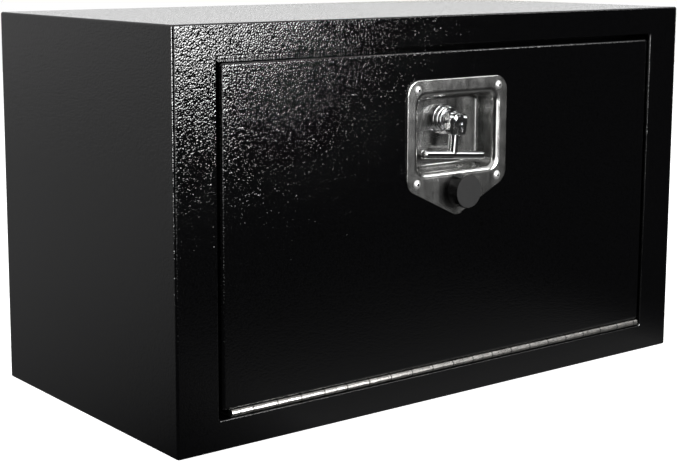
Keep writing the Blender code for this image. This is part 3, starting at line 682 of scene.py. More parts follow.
    def push(self, value: Point) -> None:
        """Extrude what is selected."""
        bpy.ops.mesh.extrude_region_move(TRANSFORM_OT_translate={"value": value})

    def sink(self, steps: Sequence[Pair]) -> None:
        """Inset the selected face step by step. A depth below 0 goes in."""
        for thickness, depth in steps:
            bpy.ops.mesh.inset(thickness=thickness, depth=depth, use_even_offset=True)

    def round_off(self, radius: float, segments: int, corners: bool = False) -> None:
        """Bevel the selected edges, or the selected corners of a flat outline."""
        bpy.ops.mesh.bevel(offset=radius, offset_type="OFFSET", segments=segments,
                           affect="VERTICES" if corners else "EDGES", clamp_overlap=False)

    def round_edges(self, test: Test, radius: float, segments: int) -> "Bench":
        """Bevel the edges that pass a test.

        Args:
            test: Takes the edge's middle and direction.
            radius: Radius of the bevel.
            segments: Number of its facets.

        Returns:
            The bench.
        """
        self.pick(Pick.EDGE, test)
        self.round_off(radius, segments)
        return self

    def drop_face(self) -> None:
        """Delete the selected faces and keep their edges."""
        bpy.ops.mesh.delete(type="ONLY_FACE")

    def hole(self, rect: Rect, radius: float, depth: float, segments: int) -> None:
        """Add the outline of a rounded hole.

        Args:
            rect: Left, right, low and high sides.
            radius: Radius of its corners.
            depth: Depth behind the front plane.
            segments: Facets of each corner.
        """
        middle, size = fitted(rect, depth)
        bpy.ops.mesh.primitive_plane_add(size=1, location=middle, rotation=UPRIGHT)
        bpy.ops.transform.resize(value=size, center_override=middle)
        bpy.ops.mesh.select_mode(type="VERT")
        self.round_off(radius, segments, corners=True)
        bpy.ops.mesh.select_mode(type="EDGE")
        self.drop_face()

    def bridge(self, depth: float) -> None:
        """Join the two outlines at a depth behind the front plane."""
        self.pick(Pick.EDGE, both(lies_upright, at(y=FRONT + depth)))
        bpy.ops.mesh.bridge_edge_loops()

    def modify(self, kind: str, **settings: object) -> None:
        """Apply a modifier.

        Args:
            kind: The modifier's type.
            settings: Its settings, by name.
        """
        bpy.ops.object.mode_set(mode="OBJECT")
        bpy.context.view_layer.objects.active = self.piece
        modifier = self.piece.modifiers.new(kind.lower(), kind)
        for name, value in settings.items():
            setattr(modifier, name, value)
        bpy.ops.object.modifier_apply(modifier=modifier.name)
        bpy.ops.object.mode_set(mode="EDIT")

    def thicken(self, sheet: float) -> None:
        """Give a skin its thickness, inwards."""
        self.modify("SOLIDIFY", thickness=sheet, offset=-1, use_even_offset=True)

    def combine(self, other: "Bench", operation: str = "DIFFERENCE") -> None:
        """Cut with another piece, or join it, and clear that piece away."""
        self.take()
        self.modify("BOOLEAN", operation=operation, solver="EXACT", object=other.piece)
        bpy.data.objects.remove(other.piece, do_unlink=True)

    def ease(self, radius: float, segments: int, angle: float) -> None:
        """Round every edge that is sharper than an angle in degrees."""
        self.modify("BEVEL", width=radius, segments=segments, limit_method="ANGLE",
                    angle_limit=math.radians(angle), use_clamp_overlap=True)

    def mark(self, name: str, test: Test) -> None:
        """Store 1 at each corner that passes a test, for a finish to read.

        Args:
            name: Name of the marks.
            test: Takes the corner's place and normal.
        """
        self.clear()
        marks = self.piece.data.attributes.new(name, "FLOAT", "POINT")
        for corner, mark in zip(self.piece.data.vertices, marks.data):
            mark.value = float(test(corner.co, corner.normal))

    def copy_to(self, offset: Point) -> "Bench":
        """Copy the piece to another place, with its own mesh.

        Args:
            offset: How far away it goes.

        Returns:
            The bench with the copy on it.
        """
        self.take()
        bpy.ops.object.duplicate(linked=False)
        bpy.ops.transform.translate(value=offset)
        return Bench()

    def settle(self) -> "Bench":
        """Turn the piece about the spindle to where the handle rests.

        Returns:
            The bench.
        """
        self.clear()
        pivot = Matrix.Translation(SPINDLE)
        turn = Matrix.Rotation(REST_TURN, 4, "Y")
        self.piece.data.transform(pivot @ turn @ pivot.inverted())
        return self

    def finish(self, name: str, finish: Finish, body: Body, *nodes: str,
               angle: float = 32) -> None:
        """Smooth the piece, give it its name and finish, and hang it on its body.

        Args:
            name: Name of the piece.
            finish: Surface finish.
            body: Body that it rides on.
            nodes: CAD nodes that it stands for.
            angle: Edges sharper than this stay sharp, in degrees.
        """
        self.take()
        bpy.ops.object.shade_smooth_by_angle(angle=math.radians(angle))
        self.modify("WEIGHTED_NORMAL", keep_sharp=True, weight=80)
        self.clear()
        self.piece.name = self.piece.data.name = name
        self.piece.data.materials.clear()
        self.piece.data.materials.append(finish.make())
        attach(self.piece, body.value)
        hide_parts(*nodes)
        log.info("%s rides on %s: %d faces", name, body.value, len(self.piece.data.polygons))


def dress(finish: Finish, *nodes: str) -> None:
    """Give CAD nodes their finish.

    Args:
        finish: Surface finish.
        nodes: Names of the nodes.
    """
    for node in nodes:
        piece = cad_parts[node]
        piece.data.materials.clear()
        piece.data.materials.append(finish.make())
        log.info("%s keeps its solid, in %s", node, finish.name)


@dataclass
class Shell:
    """Welded body of the box, one skin under its coat."""

    half_width: float = 304.8 * MM
    height: float = 355.6 * MM
    depth: float = 304.8 * MM
    sheet: float = 1.9 * MM
    bend: float = 2.2 * MM
    opening: Rect = (-263.3 * MM, 263.3 * MM, 26.3 * MM, 329.0 * MM)
    opening_corner: float = 3.5 * MM
    jamb: float = 33.0 * MM
    stop: Rect = (-242.2 * MM, 242.2 * MM, 51.5 * MM, 306.3 * MM)
    stop_corner: float = 6.0 * MM
    segments: int = 6

    def build(self) -> None:
        """Model the shell from a block and coat it."""
        left, right, low, high = self.opening
        bench = Bench.block((-self.half_width, FRONT, 0),
                            (self.half_width, FRONT + self.depth, self.height))
        bench.pick(Pick.FACE, faces_front)
        bench.sink([(low, 0)])
        inner = self.half_width - low
        for side, target in ((-1, left), (1, right)):
            bench.shift(at(x=side * inner), (target - side * inner, 0, 0))
        bench.shift(at(z=self.height - low), (0, 0, high - self.height + low))
        bench.pick(Pick.FACE, both(faces_front, at(x=0, z=(low + high) / 2)))
        bench.push((0, self.jamb, 0))
        bench.round_edges(both(runs_deep, at(y=FRONT + self.jamb / 2)), self.opening_corner,
                          self.segments)
        bench.pick(Pick.FACE, both(faces_front, at(y=FRONT + self.jamb)))
        bench.drop_face()
        bench.hole(self.stop, self.stop_corner, self.jamb, self.segments)
        bench.bridge(self.jamb)
        bench.round_edges(self.is_bend, self.bend, self.segments)
        bench.face_out()
        bench.thicken(self.sheet)
        bench.finish("welded_shell", COAT, Body.BOX, "front_frame", "top_panel", "bottom_panel",
                     "left_side_panel", "right_side_panel", "back_panel")

    def is_bend(self, place: Vector, way: Vector) -> bool:
        """Whether an edge is one of the box's bends, or the rim of its opening.

        Args:
            place: Middle of the edge.
            way: Its direction.

        Returns:
            Whether it is.
        """
        on_sides = near(abs(place.x), self.half_width)
        on_ends = near(place.y, FRONT) or near(place.y, FRONT + self.depth)
        on_tops = near(place.z, 0) or near(place.z, self.height)
        on_rim = (near(place.y, FRONT) and lies_upright(place, way)
                  and on_outline(place, way, self.opening, self.opening_corner))
        return sum((on_sides, on_ends, on_tops)) > 1 or on_rim


@dataclass
class Seal:
    """Bulb seal on the stop flange behind the door."""

    outer: Rect = (-257.2 * MM, 257.2 * MM, 36.5 * MM, 321.3 * MM)
    corner: float = 18.0 * MM
    base: float = 32.7 * MM
    width: float = 12.0 * MM
    height: float = 7.0 * MM
    lip: float = 1.4 * MM
    lip_edge: Pair = (0.15 * MM, 0.6 * MM)
    bulb: float = 4.8 * MM

    def build(self) -> None:
        """Inset the seal's section round the opening and close it at its base."""
        foot, shoulder = self.lip_edge
        edge = [(0.0, 0.0), (foot, self.lip * 0.8), (shoulder, self.lip)]
        points = edge + [(self.width / 2 - x, self.lip + y * (self.height - self.lip) / self.bulb)
                         for x, y in arc((0, 0), self.bulb, 0, 180, 12)]
        points += [(self.width - x, y) for x, y in reversed(edge)]
        bench = Bench.panel(self.outer, self.base)
        bpy.ops.mesh.select_mode(type="VERT")
        bench.everything()
        bench.round_off(self.corner, 10, corners=True)
        bench.pick(Pick.FACE, at())
        bench.sink([(b[0] - a[0], b[1] - a[1]) for a, b in zip(points, points[1:])])
        bpy.ops.mesh.delete(type="FACE")
        bench.bridge(self.base)
        bench.close_up()
        bench.finish("bulb_seal", SEAL_RUBBER, Body.BOX, "door_seal", angle=50)


@dataclass
class Door:
    """Drop-down door: a folded outer skin and the flat panel inside it."""

    rect: Rect = (-260.2 * MM, 260.2 * MM, 33.5 * MM, 324.3 * MM)
    thickness: float = 25.4 * MM
    sheet: float = 1.9 * MM
    bend: float = 3.4 * MM
    corner: float = 3.9 * MM
    cutout: Rect = (-51.2 * MM, 51.2 * MM, 209.8 * MM, 286.9 * MM)
    cutout_corner: float = 12.3 * MM
    segments: int = 6

    def build(self) -> None:
        """Model the outer skin and dress the inner panel."""
        left, right, low, high = self.rect
        bench = Bench.block((left, FRONT, low), (right, FRONT + self.thickness, high))
        bench.pick(Pick.FACE, lambda place, way: way.y > ALIGNED)
        bpy.ops.mesh.delete(type="FACE")
        bench.round_edges(runs_deep, self.corner, self.segments)
        bench.round_edges(both(lies_upright, at(y=FRONT)), self.bend, self.segments)
        bench.thicken(self.sheet)
        left, right, low, high = self.cutout
        cutter = Bench.block((left, FRONT - SPARE, low), (right, FRONT + 2 * self.sheet, high))
        bench.combine(cutter.round_edges(runs_deep, self.cutout_corner, self.segments))
        bench.finish("door_skin", COAT, Body.DOOR, "door_outer_panel")
        dress(COAT, "door_inner_panel")


@dataclass
class Hinge:
    """Continuous hinge along the bottom edge, kept as CAD solids."""

    rivets: int = 5

    def build(self) -> None:
        """Dress the leaves, the pin and the rivets."""
        dress(HINGE_STEEL, "hinge_frame_leaf", "hinge_door_leaf", "hinge_pin")
        dress(BRIGHT, *(f"hinge_{leaf}_rivet_{i + 1}" for leaf in ("frame", "door")
                        for i in range(self.rivets)))


@dataclass
class BlindRivet:
    """Blind rivet with its domed head, swelled tail and broken mandrel's hole."""

    head: float = 4.25 * MM
    rise: float = 1.75 * MM
    hole: float = 1.3 * MM
    shank: float = 2.3 * MM
    edge: float = 0.1 * MM
    hole_floor: Tuple[Pair, ...] = ((0.0, 2.6), (1.04, 2.5), (1.3, 2.2))
    tail: Tuple[Pair, ...] = ((2.3, 2.2), (3.2, 2.2), (3.3, 3.6), (2.6, 5.2), (0.0, 5.6))

    def turn(self, seat: float, x: float, z: float) -> Bench:
        """Turn the rivet and mark its hole, which its finish paints dark as painted shade.

        Args:
            seat: Depth of the face that it sits on.
            x: Where it sits across the front.
            z: How high it sits.

        Returns:
            The bench with the rivet on it.
        """
        tip = seat - self.rise
        radius = (self.head ** 2 + self.rise ** 2) / (2 * self.rise)
        start, end = (270 + math.degrees(math.asin(reach / radius))
                      for reach in (self.hole, self.head))
        profile = [(reach, tip + depth) for reach, depth in in_metres(self.hole_floor)]
        profile += arc((0, tip + radius), radius, start, end, 10)
        profile += [(self.head - self.edge, seat), (self.shank, seat)] + in_metres(self.tail)
        bench = Bench.turned(profile, (x, FRONT, z), steps=36)
        # the marked hole gets painted shade from the rivet finish
        bench.mark(RIVET_STEEL.mark, lambda place, way: place.y > FRONT + tip + 0.3 * MM
                   and math.hypot(place.x - x, place.z - z) < self.hole + FINE)
        return bench


@dataclass
class LatchPlate:
    """Pressed stainless plate with its recess and four blind rivets."""

    half_width: float = 61.5 * MM
    top: float = 298.5 * MM
    shoulder: float = 200.8 * MM
    tip: float = 171.6 * MM
    corner: float = 14.0 * MM
    tip_radius: float = 8.0 * MM
    sheet: float = 1.2 * MM
    gap: float = 0.3 * MM
    edge: float = 0.9 * MM
    burr: float = 0.25 * MM
    sharp: float = 60
    recess: Rect = (-52.8 * MM, 52.8 * MM, 208.2 * MM, 288.4 * MM)
    recess_corner: float = 14.0 * MM
    recess_depth: float = 22.0 * MM
    mouth: float = 6.2 * MM
    floor: float = 3.0 * MM
    draft: float = 1.5 * MM
    rivet_x: float = 49.65 * MM
    rivet_z: Pair = (289.5 * MM, 204.9 * MM)
    rivet_hole: float = 2.6 * MM
    spindle_hole: float = 8.2 * MM
    bumper_z: float = 195.7 * MM
    stud_hole: float = 3.3 * MM
    segments: int = 8

    def build(self) -> None:
        """Model the plate and its rivets."""
        face = -self.sheet - self.gap
        bench = self.outline(face)
        _, _, low, high = self.recess
        bench.pick(Pick.EDGE,
                   lambda place, way: on_outline(place, way, self.recess, self.recess_corner))
        bpy.ops.mesh.edge_face_add()
        bench.pick(Pick.FACE, at(x=0, z=(low + high) / 2, slack=MM))
        wall = self.recess_depth - face - self.mouth - self.floor
        bench.sink(quarter_turn(self.mouth, 10) + [(self.draft, -wall)]
                   + quarter_turn(self.floor, 6, hollow=True))
        self.face_front(bench)
        bench.thicken(self.sheet)
        bench.pick(Pick.EDGE, at(y=FRONT + face, slack=FINE), self.sharp)
        bench.round_off(self.edge, 4)
        self.holes(bench)
        bench.ease(self.burr, 2, self.sharp)
        bench.finish("latch_plate", SATIN, Body.DOOR, "latch_pan")
        self.rivets(face - self.gap)

    def outline(self, face: float) -> Bench:
        """Shape the flat outline with the recess left open.

        Args:
            face: Depth of the plate's face behind the front plane.

        Returns:
            The bench with the plate on it.
        """
        width = self.half_width
        bench = Bench.panel((-width, width, self.shoulder, self.top), face)
        bench.pick(Pick.EDGE, at(z=self.shoulder))
        bpy.ops.mesh.subdivide(number_cuts=1)
        bench.shift(at(x=0), (0, 0, self.tip - self.shoulder))
        slope = math.atan2(self.shoulder - self.tip, width)
        for test, radius, angle in ((at(x=0), self.tip_radius, math.pi - 2 * slope),
                                    (at(z=self.shoulder), self.corner, math.pi / 2 + slope),
                                    (at(z=self.top), self.corner, math.pi / 2)):
            bench.pick(Pick.CORNER, test)
            bench.round_off(radius / math.tan(angle / 2), self.segments, corners=True)
        bench.pick(Pick.FACE, at())
        bench.drop_face()
        bench.hole(self.recess, self.recess_corner, face, self.segments)
        bench.everything()
        bpy.ops.mesh.fill(use_beauty=True)
        bench.face_out()
        self.face_front(bench)
        return bench

    @staticmethod
    def face_front(bench: Bench) -> None:
        """Turn the plate's faces to the front if they point to the back."""
        mesh = bmesh.from_edit_mesh(bench.piece.data)
        if sum(face.normal.y * face.calc_area() for face in mesh.faces) > 0:
            bench.everything()
            bpy.ops.mesh.flip_normals()

    def holes(self, bench: Bench) -> None:
        """Cut the holes for the spindle, the bumper's stud and the rivets.

        Args:
            bench: Bench with the plate on it.
        """
        drills = [(0.0, SPINDLE[2], self.spindle_hole, self.recess_depth + 3 * self.sheet),
                  (0.0, self.bumper_z, self.stud_hole, self.sheet)]
        drills += [(side * self.rivet_x, z, self.rivet_hole, self.sheet)
                   for side in (-1, 1) for z in self.rivet_z]
        for x, z, radius, end in drills:
            bench.combine(Bench.rod(radius, (x, FRONT - SPARE, z), (x, FRONT + end, z), 48))
        bench.close_up(FINE)

    def rivets(self, seat: float) -> None:
        """Turn one blind rivet and set a copy at each other corner.

        Args:
            seat: Depth of the rivets' seat behind the front plane.
        """
        places = [(x, z) for z in self.rivet_z for x in (-self.rivet_x, self.rivet_x)]
        first_x, first_z = places[0]
        first = BlindRivet().turn(seat, first_x, first_z)
        for i, (x, z) in enumerate(places, 1):
            bench = first if i == 1 else first.copy_to((x - first_x, 0, z - first_z))
            bench.finish(f"blind_rivet_{i}", RIVET_STEEL, Body.DOOR, f"latch_rivet_{i}")


@dataclass
class Lock:
    """Collar, spindle, plug and cam of the latch. Steps of the shaft are in millimetres."""

    collar_radius: float = 14.0 * MM
    collar_front: float = 13.0 * MM
    collar_band: float = 4.6 * MM
    collar_edge: float = 0.5 * MM
    collar_step: Pair = (0.9 * MM, 2.0 * MM)
    collar_dome: float = 1.4 * MM
    seat: float = 21.7 * MM
    bore: float = 7.9 * MM
    hub_radius: float = 12.4 * MM
    hub_front: float = 9.8 * MM
    hub_back: float = 12.7 * MM
    hub_edge: float = 1.5 * MM
    hub_burr: float = 0.2 * MM
    dish: float = 8.4 * MM
    dish_depth: float = 0.9 * MM
    dish_edge: Pair = (0.5 * MM, 0.3 * MM)
    shaft: Tuple[Pair, ...] = ((7.6, 29.9), (7.5, 30.0), (5.0, 30.0), (5.0, 37.2), (3.45, 37.2),
                               (3.45, 40.5), (3.2, 40.5), (3.2, 48.4), (2.6, 49.0), (0.0, 49.0))
    head_radius: float = 6.8 * MM
    head_half_width: float = 6.1 * MM
    head_front: float = -2.5 * MM
    head_base: float = 1.0 * MM
    head_edge: float = 0.7 * MM
    bore_edge: float = 0.25 * MM
    plug_radius: float = 4.5 * MM
    plug_gap: float = 0.2 * MM
    plug_rise: float = 0.3 * MM
    plug_edge: float = 0.5 * MM
    dimple: Point = (3.0 * MM, 2.85 * MM, 0.15 * MM)
    keyway: Point = (1.0 * MM, 3.0 * MM, 5.5 * MM)
    keyway_corner: float = 0.42 * MM

    def build(self) -> None:
        """Model what shows from the front and dress what's behind."""
        self.collar()
        self.spindle()
        self.plug()
        dress(ZINC, "collar_nut", "latch_cam", "cam_washer", "cam_nut")

    def collar(self) -> None:
        """Turn the collar that stands on the recess floor."""
        radius, front, seat = self.collar_radius, self.collar_front, self.seat
        band, edge, dome = front + self.collar_band, self.collar_edge, self.collar_dome
        step, inset = self.collar_step
        profile = [(self.bore, seat), (radius, seat)]
        profile += arc((radius - edge, band + edge), edge, 0, -90, 4)
        profile += [(radius - step, band)]
        profile += arc((radius - inset, front + dome), dome, 0, -90, 6)
        profile += [(self.bore, front), (self.bore, seat)]
        Bench.turned(profile).finish("lock_rosette", CHROME, Body.DOOR, "lock_collar")

    def spindle(self) -> None:
        """Turn the hub and its shaft, and cut the flats of the head."""
        radius, front, back = self.hub_radius, self.hub_front, self.hub_back
        floor, edge, burr = front + self.dish_depth, self.hub_edge, self.hub_burr
        flare, fall = self.dish_edge
        profile = [(0.0, floor), (self.dish, floor), (self.dish + flare, front + fall)]
        profile += arc((radius - edge, front + edge), edge, -90, 0, 8)
        profile += [(radius, back - burr), (radius - burr, back),
                    (self.shaft[0][0] * MM, back)] + in_metres(self.shaft)
        hub = Bench.turned(profile)
        head, tip = self.head_radius, self.head_front
        bore, base = self.plug_radius + self.plug_gap, front + self.head_base
        profile = [(bore, base), (head, base)]
        for middle, edge, turn, steps in ((head - self.head_edge, self.head_edge, 0, 5),
                                          (bore + self.bore_edge, self.bore_edge, -90, 3)):
            profile += arc((middle, tip + edge), edge, turn, turn - 90, steps)
        profile += [(bore, base)]
        stem = Bench.turned(profile)
        for side in (-1, 1):
            stem.take()
            bpy.ops.object.mode_set(mode="EDIT")
            stem.everything()
            bpy.ops.mesh.bisect(plane_co=(side * self.head_half_width, 0, 0),
                                plane_no=(side, 0, 0), clear_outer=True, use_fill=True)
        hub.combine(stem, "UNION")
        hub.settle().finish("lock_spindle", CHROME, Body.SPINDLE, "latch_spindle", angle=28)

    def plug(self) -> None:
        """Turn the plug and cut its keyway."""
        radius, face, edge = self.plug_radius, self.head_front - self.plug_rise, self.plug_edge
        rim, floor, fall = self.dimple
        profile = [(0.0, self.hub_back), (radius, self.hub_back)]
        profile += arc((radius - edge, face + edge), edge, 0, -90, 5)
        profile += [(rim, face), (floor, face + fall), (0.0, face + fall)]
        bench = Bench.turned(profile, steps=56)
        x, y, z = SPINDLE
        width, depth, height = self.keyway
        slot = Bench.block((x - width / 2, y - SPARE, z - height / 2),
                           (x + width / 2, y + face + depth, z + height / 2))
        bench.combine(slot.round_edges(runs_deep, self.keyway_corner, 4))
        bench.settle().finish("lock_cylinder", CHROME, Body.PLUG, "lock_plug")


@dataclass
class THandle:
    """Folding T-handle: yoke, shank and crossbar on two pivot pins."""

    middle: Point = (0.0, FRONT + 4.0 * MM, 260.0 * MM)
    arm_inner: float = 6.4 * MM
    arm_outer: float = 10.3 * MM
    front: float = -2.0 * MM
    eye: float = 5.5 * MM
    eye_flat: float = 0.05 * MM
    drop: float = 14.6 * MM
    taper: float = 6.9 * MM
    toe: float = 2.0 * MM
    web: float = 2.2 * MM
    corner: float = 5.5 * MM
    slot_corner: float = 3.5 * MM
    slot_reach: float = 8.0 * MM
    edge: float = 1.6 * MM
    shank: float = 4.8 * MM
    bar: float = 4.0 * MM
    bar_length: float = 73.5 * MM
    bar_drop: float = 32.5 * MM
    bar_depth: float = 2.0 * MM
    bar_edge: float = 1.5 * MM
    saddle: float = 12.0 * MM
    saddle_gap: float = 0.3 * MM
    pin_hole: float = 2.5 * MM
    pin_reach: float = 15.0 * MM
    pin: float = 2.25 * MM
    pin_start: float = 5.3 * MM
    pin_play: float = 0.3 * MM
    pin_head: Tuple[Pair, ...] = ((3.8, 0.0), (3.75, 0.2), (3.2, 0.55), (2.0, 0.75), (0.0, 0.8))

    def build(self) -> None:
        """Model the handle upright, then turn it to its rest on the spindle."""
        self.yoke()
        self.crossbar()
        self.pins()

    def clevis(self, low: float, top: float, ends: Pair) -> Bench:
        """Shape the block that the yoke is cut from.

        Args:
            low: Height of its lower face.
            top: Height of the eyes' top.
            ends: Its front and back.

        Returns:
            The bench with the block on it.
        """
        near_y, far_y = ends
        bench = Bench.block((-self.arm_outer, near_y, low), (self.arm_outer, far_y, top))
        bench.shift(at(y=far_y, z=low), (0, -self.taper, 0))
        bench.round_edges(both(runs_across, at(z=top)), self.eye - self.eye_flat, 10)
        return bench.round_edges(both(runs_across, at(y=near_y, z=low)), self.toe, 5)

    def yoke(self) -> None:
        """Round the block, slot it, and add its shank."""
        _, y, z = self.middle
        low, top = z - self.drop, z + self.eye
        near_y, far_y = FRONT + self.front, y + self.eye
        bench = self.clevis(low, top, (near_y, far_y))
        for half, foot, corner, reach, rise, operation in (
                (self.arm_outer, low, self.corner, SPARE, self.eye, "INTERSECT"),
                (self.arm_inner, low + self.web, self.slot_corner, self.slot_reach,
                 2 * self.eye, "DIFFERENCE")):
            block = Bench.block((-half, near_y - reach, foot), (half, far_y + reach, top + rise))
            bench.combine(block.round_edges(both(runs_deep, at(z=foot)), corner, 8), operation)
        bench.ease(self.edge, 5, 50)
        shank_y, bar_y = near_y + self.shank, FRONT + self.bar_depth
        bar_z = z - self.bar_drop
        bench.combine(Bench.rod(self.shank, (0, shank_y, bar_z),
                                (0, shank_y, low + self.web / 2)), "UNION")
        bench.combine(Bench.rod(self.bar + self.saddle_gap, (-self.saddle, bar_y, bar_z),
                                (self.saddle, bar_y, bar_z)))
        bench.combine(Bench.rod(self.pin_hole, (-self.pin_reach, y, z), (self.pin_reach, y, z), 32))
        bench.settle().finish("handle_clevis", CHROME, Body.HANDLE, "handle_yoke")

    def crossbar(self) -> None:
        """Turn the crossbar with its domed ends."""
        half, radius, edge = self.bar_length / 2, self.bar, self.bar_edge
        profile = [(0.0, -half)]
        profile += arc((radius - edge, -half + edge), edge, -90, 0, 6)
        profile += arc((radius - edge, half - edge), edge, 0, 90, 6)
        profile += [(0.0, half)]
        middle = (0, FRONT + self.bar_depth, self.middle[2] - self.bar_drop)
        bench = Bench.turned(profile, middle, (1, 0, 0), 56)
        bench.settle().finish("handle_grip", CHROME, Body.HANDLE, "handle_crossbar")

    def pins(self) -> None:
        """Turn the two pivot pins with their domed heads."""
        outside = self.arm_outer + self.pin_play
        profile = [(0.0, self.pin_start), (self.pin, self.pin_start), (self.pin, outside)]
        profile += [(radius, outside + rise) for radius, rise in in_metres(self.pin_head)]
        for i, side in enumerate((-1, 1), 1):
            bench = Bench.turned(profile, self.middle, (side, 0, 0), 36)
            bench.settle().finish(f"pivot_pin_{i}", CHROME, Body.SPINDLE, f"handle_pivot_pin_{i}")


@dataclass
class Bumper:
    """Round rubber bumper on the plate below the handle."""

    middle: Point = (0.0, FRONT, 195.7 * MM)
    radius: float = 15.3 * MM
    stud: float = 3.0 * MM
    stud_end: float = 8.7 * MM
    base: float = -1.8 * MM
    face: float = -17.4 * MM
    edge: float = 1.1 * MM
    crown: Pair = (4.0 * MM, 0.05 * MM)
    groove: Tuple[Pair, ...] = ((0.3, 0.0), (0.0, 0.3), (0.0, 1.4), (0.2, 1.6), (1.2, 1.8),
                                (1.2, 2.4), (0.3, 2.6), (0.0, 2.9))

    def build(self) -> None:
        """Turn the bumper, with a groove near its base, and dress its nut."""
        radius, face, edge = self.radius, self.face, self.edge
        profile = [(0.0, self.stud_end), (self.stud, self.stud_end), (self.stud, self.base)]
        profile += [(radius - x, self.base - y) for x, y in in_metres(self.groove)]
        profile += arc((radius - edge, face + edge), edge, 0, -80, 6)
        profile += [(radius - self.crown[0], face + self.crown[1]), (0.0, face)]
        bench = Bench.turned(profile, self.middle)
        bench.finish("rubber_bumper", RUBBER, Body.DOOR, "bumper")
        dress(ZINC, "bumper_nut")


@dataclass
class Hardware:
    """Keeper and stay studs, kept as CAD solids."""

    studs: Tuple[str, ...] = ("left_body", "left_door", "right_body", "right_door")

    def build(self) -> None:
        """Dress the keeper and the studs."""
        dress(ZINC, "keeper", *(f"{stud}_stay_stud" for stud in self.studs))


@dataclass(frozen=True)
class Lamp:
    """Soft rectangular lamp aimed at a point."""

    name: str
    place: Point
    target: Point
    size: Pair
    power: float

    def build(self) -> None:
        """Set the lamp up."""
        data = bpy.data.lights.new(self.name, "AREA")
        data.shape = "RECTANGLE"
        data.size, data.size_y = self.size
        data.energy = self.power
        lamp = bpy.data.objects.new(self.name, data)
        lamp.location = self.place
        aim = Vector(self.target) - Vector(self.place)
        lamp.rotation_euler = aim.to_track_quat("-Z", "Y").to_euler()
        lamp.visible_camera = False
        bpy.context.scene.collection.objects.link(lamp)


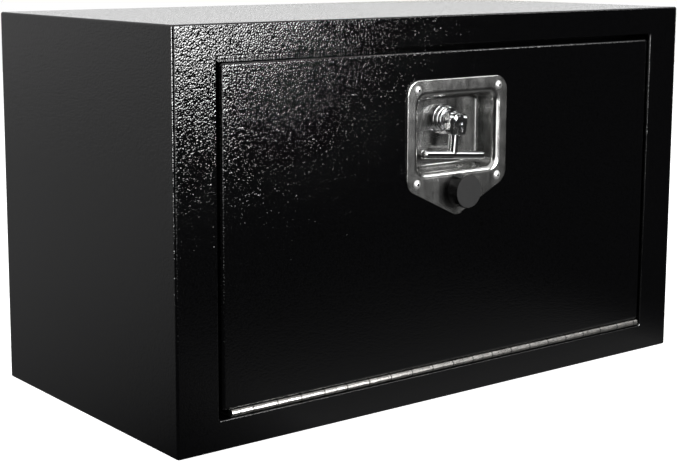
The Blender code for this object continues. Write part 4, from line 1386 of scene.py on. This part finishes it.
@dataclass
class Studio:
    """Pale floor, white surroundings, soft lamps and the camera."""

    eye: Point = (-919.94 * MM, -1134.23 * MM, 413.74 * MM)
    right: Point = (0.800528, -0.599295, -0.000093)
    down: Point = (-0.090932, -0.121313, -0.98844)
    ahead: Point = (0.592356, 0.791283, -0.15161)
    focal_pixels: float = 1473.7
    centre_pixel: Pair = (295.2, 175.4)
    frame_pixels: Pair = (679.0, 463.0)
    sensor: float = 36
    lamps: Tuple[Lamp, ...] = (
        Lamp("key_lamp", (0.71, -2.54, 0.72), (-0.3, -0.15, 0.35), (1.12, 0.9), 84),
        Lamp("front_strip", (-0.4, -1.75, 0.5), (0, -0.15, 0.25), (0.7, 1.0), 5),
        Lamp("left_strip", (-2.3, 0.78, 0.6), (-0.3, 0, 0.25), (0.9, 1.2), 100),
        Lamp("right_strip", (2.3, 0.1, 0.6), (0.1, -0.15, 0.25), (0.4, 1.2), 14),
        Lamp("high_lamp", (1.55, -1.25, 1.5), (0.1, -0.15, 0.1), (0.42, 0.42), 3.6),
        Lamp("top_lamp", (1.5, 2.0, 0.9), (0, 0, 0.35), (2.0, 0.9), 5.8))
    ambient: float = 0.35
    front_glow: float = 0.015
    back_glow: float = 0.41
    ceiling_glow: float = 0.7
    back_slope: Pair = (1.7, 0.2)
    ceiling_slope: Pair = (3.0, -1.0)
    floor_size: float = 7
    floor_drop: float = 0.4 * MM
    floor_glow: float = 0.75
    floor_back_glow: float = 0.30
    back_start: float = -0.15
    back_reach: float = 0.5
    near_glow: float = 0.15
    near_start: float = -0.17
    near_reach: float = 0.6
    near_power: float = 3.0
    near_sides: Pair = (-0.35, 0.5)
    near_fade: float = 5
    pool: Rect = (-0.4, 0.6, -1.7, 0.45)

    def build(self) -> None:
        """Set up the stage."""
        self.world()
        self.floor()
        for lamp in self.lamps:
            lamp.build()
        self.camera()
        bpy.context.scene.view_settings.view_transform = "Standard"

    def world(self) -> None:
        """White to the camera, white behind the box in reflections, and dim in front."""
        world = bpy.data.worlds.new("studio")
        bpy.context.scene.world = world
        world.use_nodes = True
        graph = Graph(world.node_tree)
        seen, mirrored, through = (
            graph.add("ShaderNodeLightPath", output=f"Is {ray} Ray")
            for ray in ("Camera", "Glossy", "Transmission"))
        way = graph.add("ShaderNodeTexCoord", output="Generated")
        back, over = ((graph.axis(number, way) * rise + start).held() for number, (rise, start)
                      in ((1, self.back_slope), (2, self.ceiling_slope)))
        glow = self.front_glow + back * (self.back_glow - self.front_glow)
        glow = glow + over * (self.ceiling_glow - glow)
        reflected = (mirrored + through).held()
        strength = seen + (1 - seen) * (reflected * glow + (1 - reflected) * self.ambient)
        shade = graph.add("ShaderNodeBackground", {}, {"Color": (1, 1, 1, 1),
                                                       "Strength": strength})
        graph.add("ShaderNodeOutputWorld", {}, {"Surface": shade})

    def floor(self) -> None:
        """Pale floor that keeps the box's shadow."""
        Bench.clear()
        bpy.ops.mesh.primitive_plane_add(size=self.floor_size, location=(0, 0, -self.floor_drop))
        floor = bpy.context.object
        floor.name = "floor"
        material = bpy.data.materials.new("pale_floor")
        material.use_nodes = True
        graph = Graph(material.node_tree)
        pale = graph.add("ShaderNodeBsdfPrincipled", {}, {
            "Base Color": graph.mix(graph.noise(Pattern(0.4, 2.0)), (0.80, 0.80, 0.80),
                                    (0.84, 0.84, 0.84)),
            "Roughness": 0.9, "Emission Color": (1, 1, 1, 1),
            "Emission Strength": self.floor_glow})
        dim = graph.add("ShaderNodeBsdfPrincipled", {}, {
            "Base Color": (0, 0, 0, 1), "Specular IOR Level": 0.0, "Roughness": 1.0,
            "Emission Color": self.mirrored_floor(graph), "Emission Strength": 1.0})
        seen = graph.add("ShaderNodeLightPath", output="Is Camera Ray")
        surface = graph.add("ShaderNodeMixShader", {}, {0: seen, 1: dim, 2: pale})
        graph.add("ShaderNodeOutputMaterial", {}, {"Surface": surface})
        floor.data.materials.append(material)

    def mirrored_floor(self, graph: Graph) -> Wire:
        """Glow of the floor as the box mirrors it.

        Args:
            graph: Node tree to add to.

        Returns:
            The glow: brighter behind the box, close to its front, and in a pool before it.
        """
        across, along = graph.axis(0), graph.axis(1)
        behind = (along - self.back_start).held(0, self.floor_size)
        first, last = self.near_sides
        close = ((1 + (along - self.near_start) / self.near_reach).held()
                 * ((across - first) * self.near_fade).held()
                 * ((last - across) * self.near_fade).held())
        pool_x, half_width, pool_y, half_depth = self.pool
        pool = (1 - ((across - pool_x) / half_width) ** 2
                - ((along - pool_y) / half_depth) ** 2).held()
        return (self.front_glow + behind / (behind + self.back_reach) * self.floor_back_glow
                + close ** self.near_power * self.near_glow + pool)

    def camera(self) -> None:
        """Camera where the photograph was taken from."""
        data = bpy.data.cameras.new("camera")
        width, height = self.frame_pixels
        data.sensor_width = self.sensor
        data.lens = self.focal_pixels * self.sensor / width
        data.shift_x = (width / 2 - self.centre_pixel[0]) / width
        data.shift_y = (self.centre_pixel[1] - height / 2) / width
        camera = bpy.data.objects.new("camera", data)
        across, up, back = Vector(self.right), -Vector(self.down), -Vector(self.ahead)
        turn = Matrix((across, up, back)).transposed().to_4x4()
        camera.matrix_world = Matrix.Translation(self.eye) @ turn
        bpy.context.scene.collection.objects.link(camera)
        bpy.context.scene.camera = camera


def main() -> None:
    """Build every sub-assembly and the studio."""
    logging.basicConfig(level=logging.INFO, format="%(name)s: %(message)s")
    for assembly in (Shell(), Seal(), Door(), Hinge(), LatchPlate(), Lock(), THandle(),
                     Bumper(), Hardware(), Studio()):
        log.info("building %s", type(assembly).__name__)
        assembly.build()
    Bench.clear()


if __name__ == "__main__":
    main()
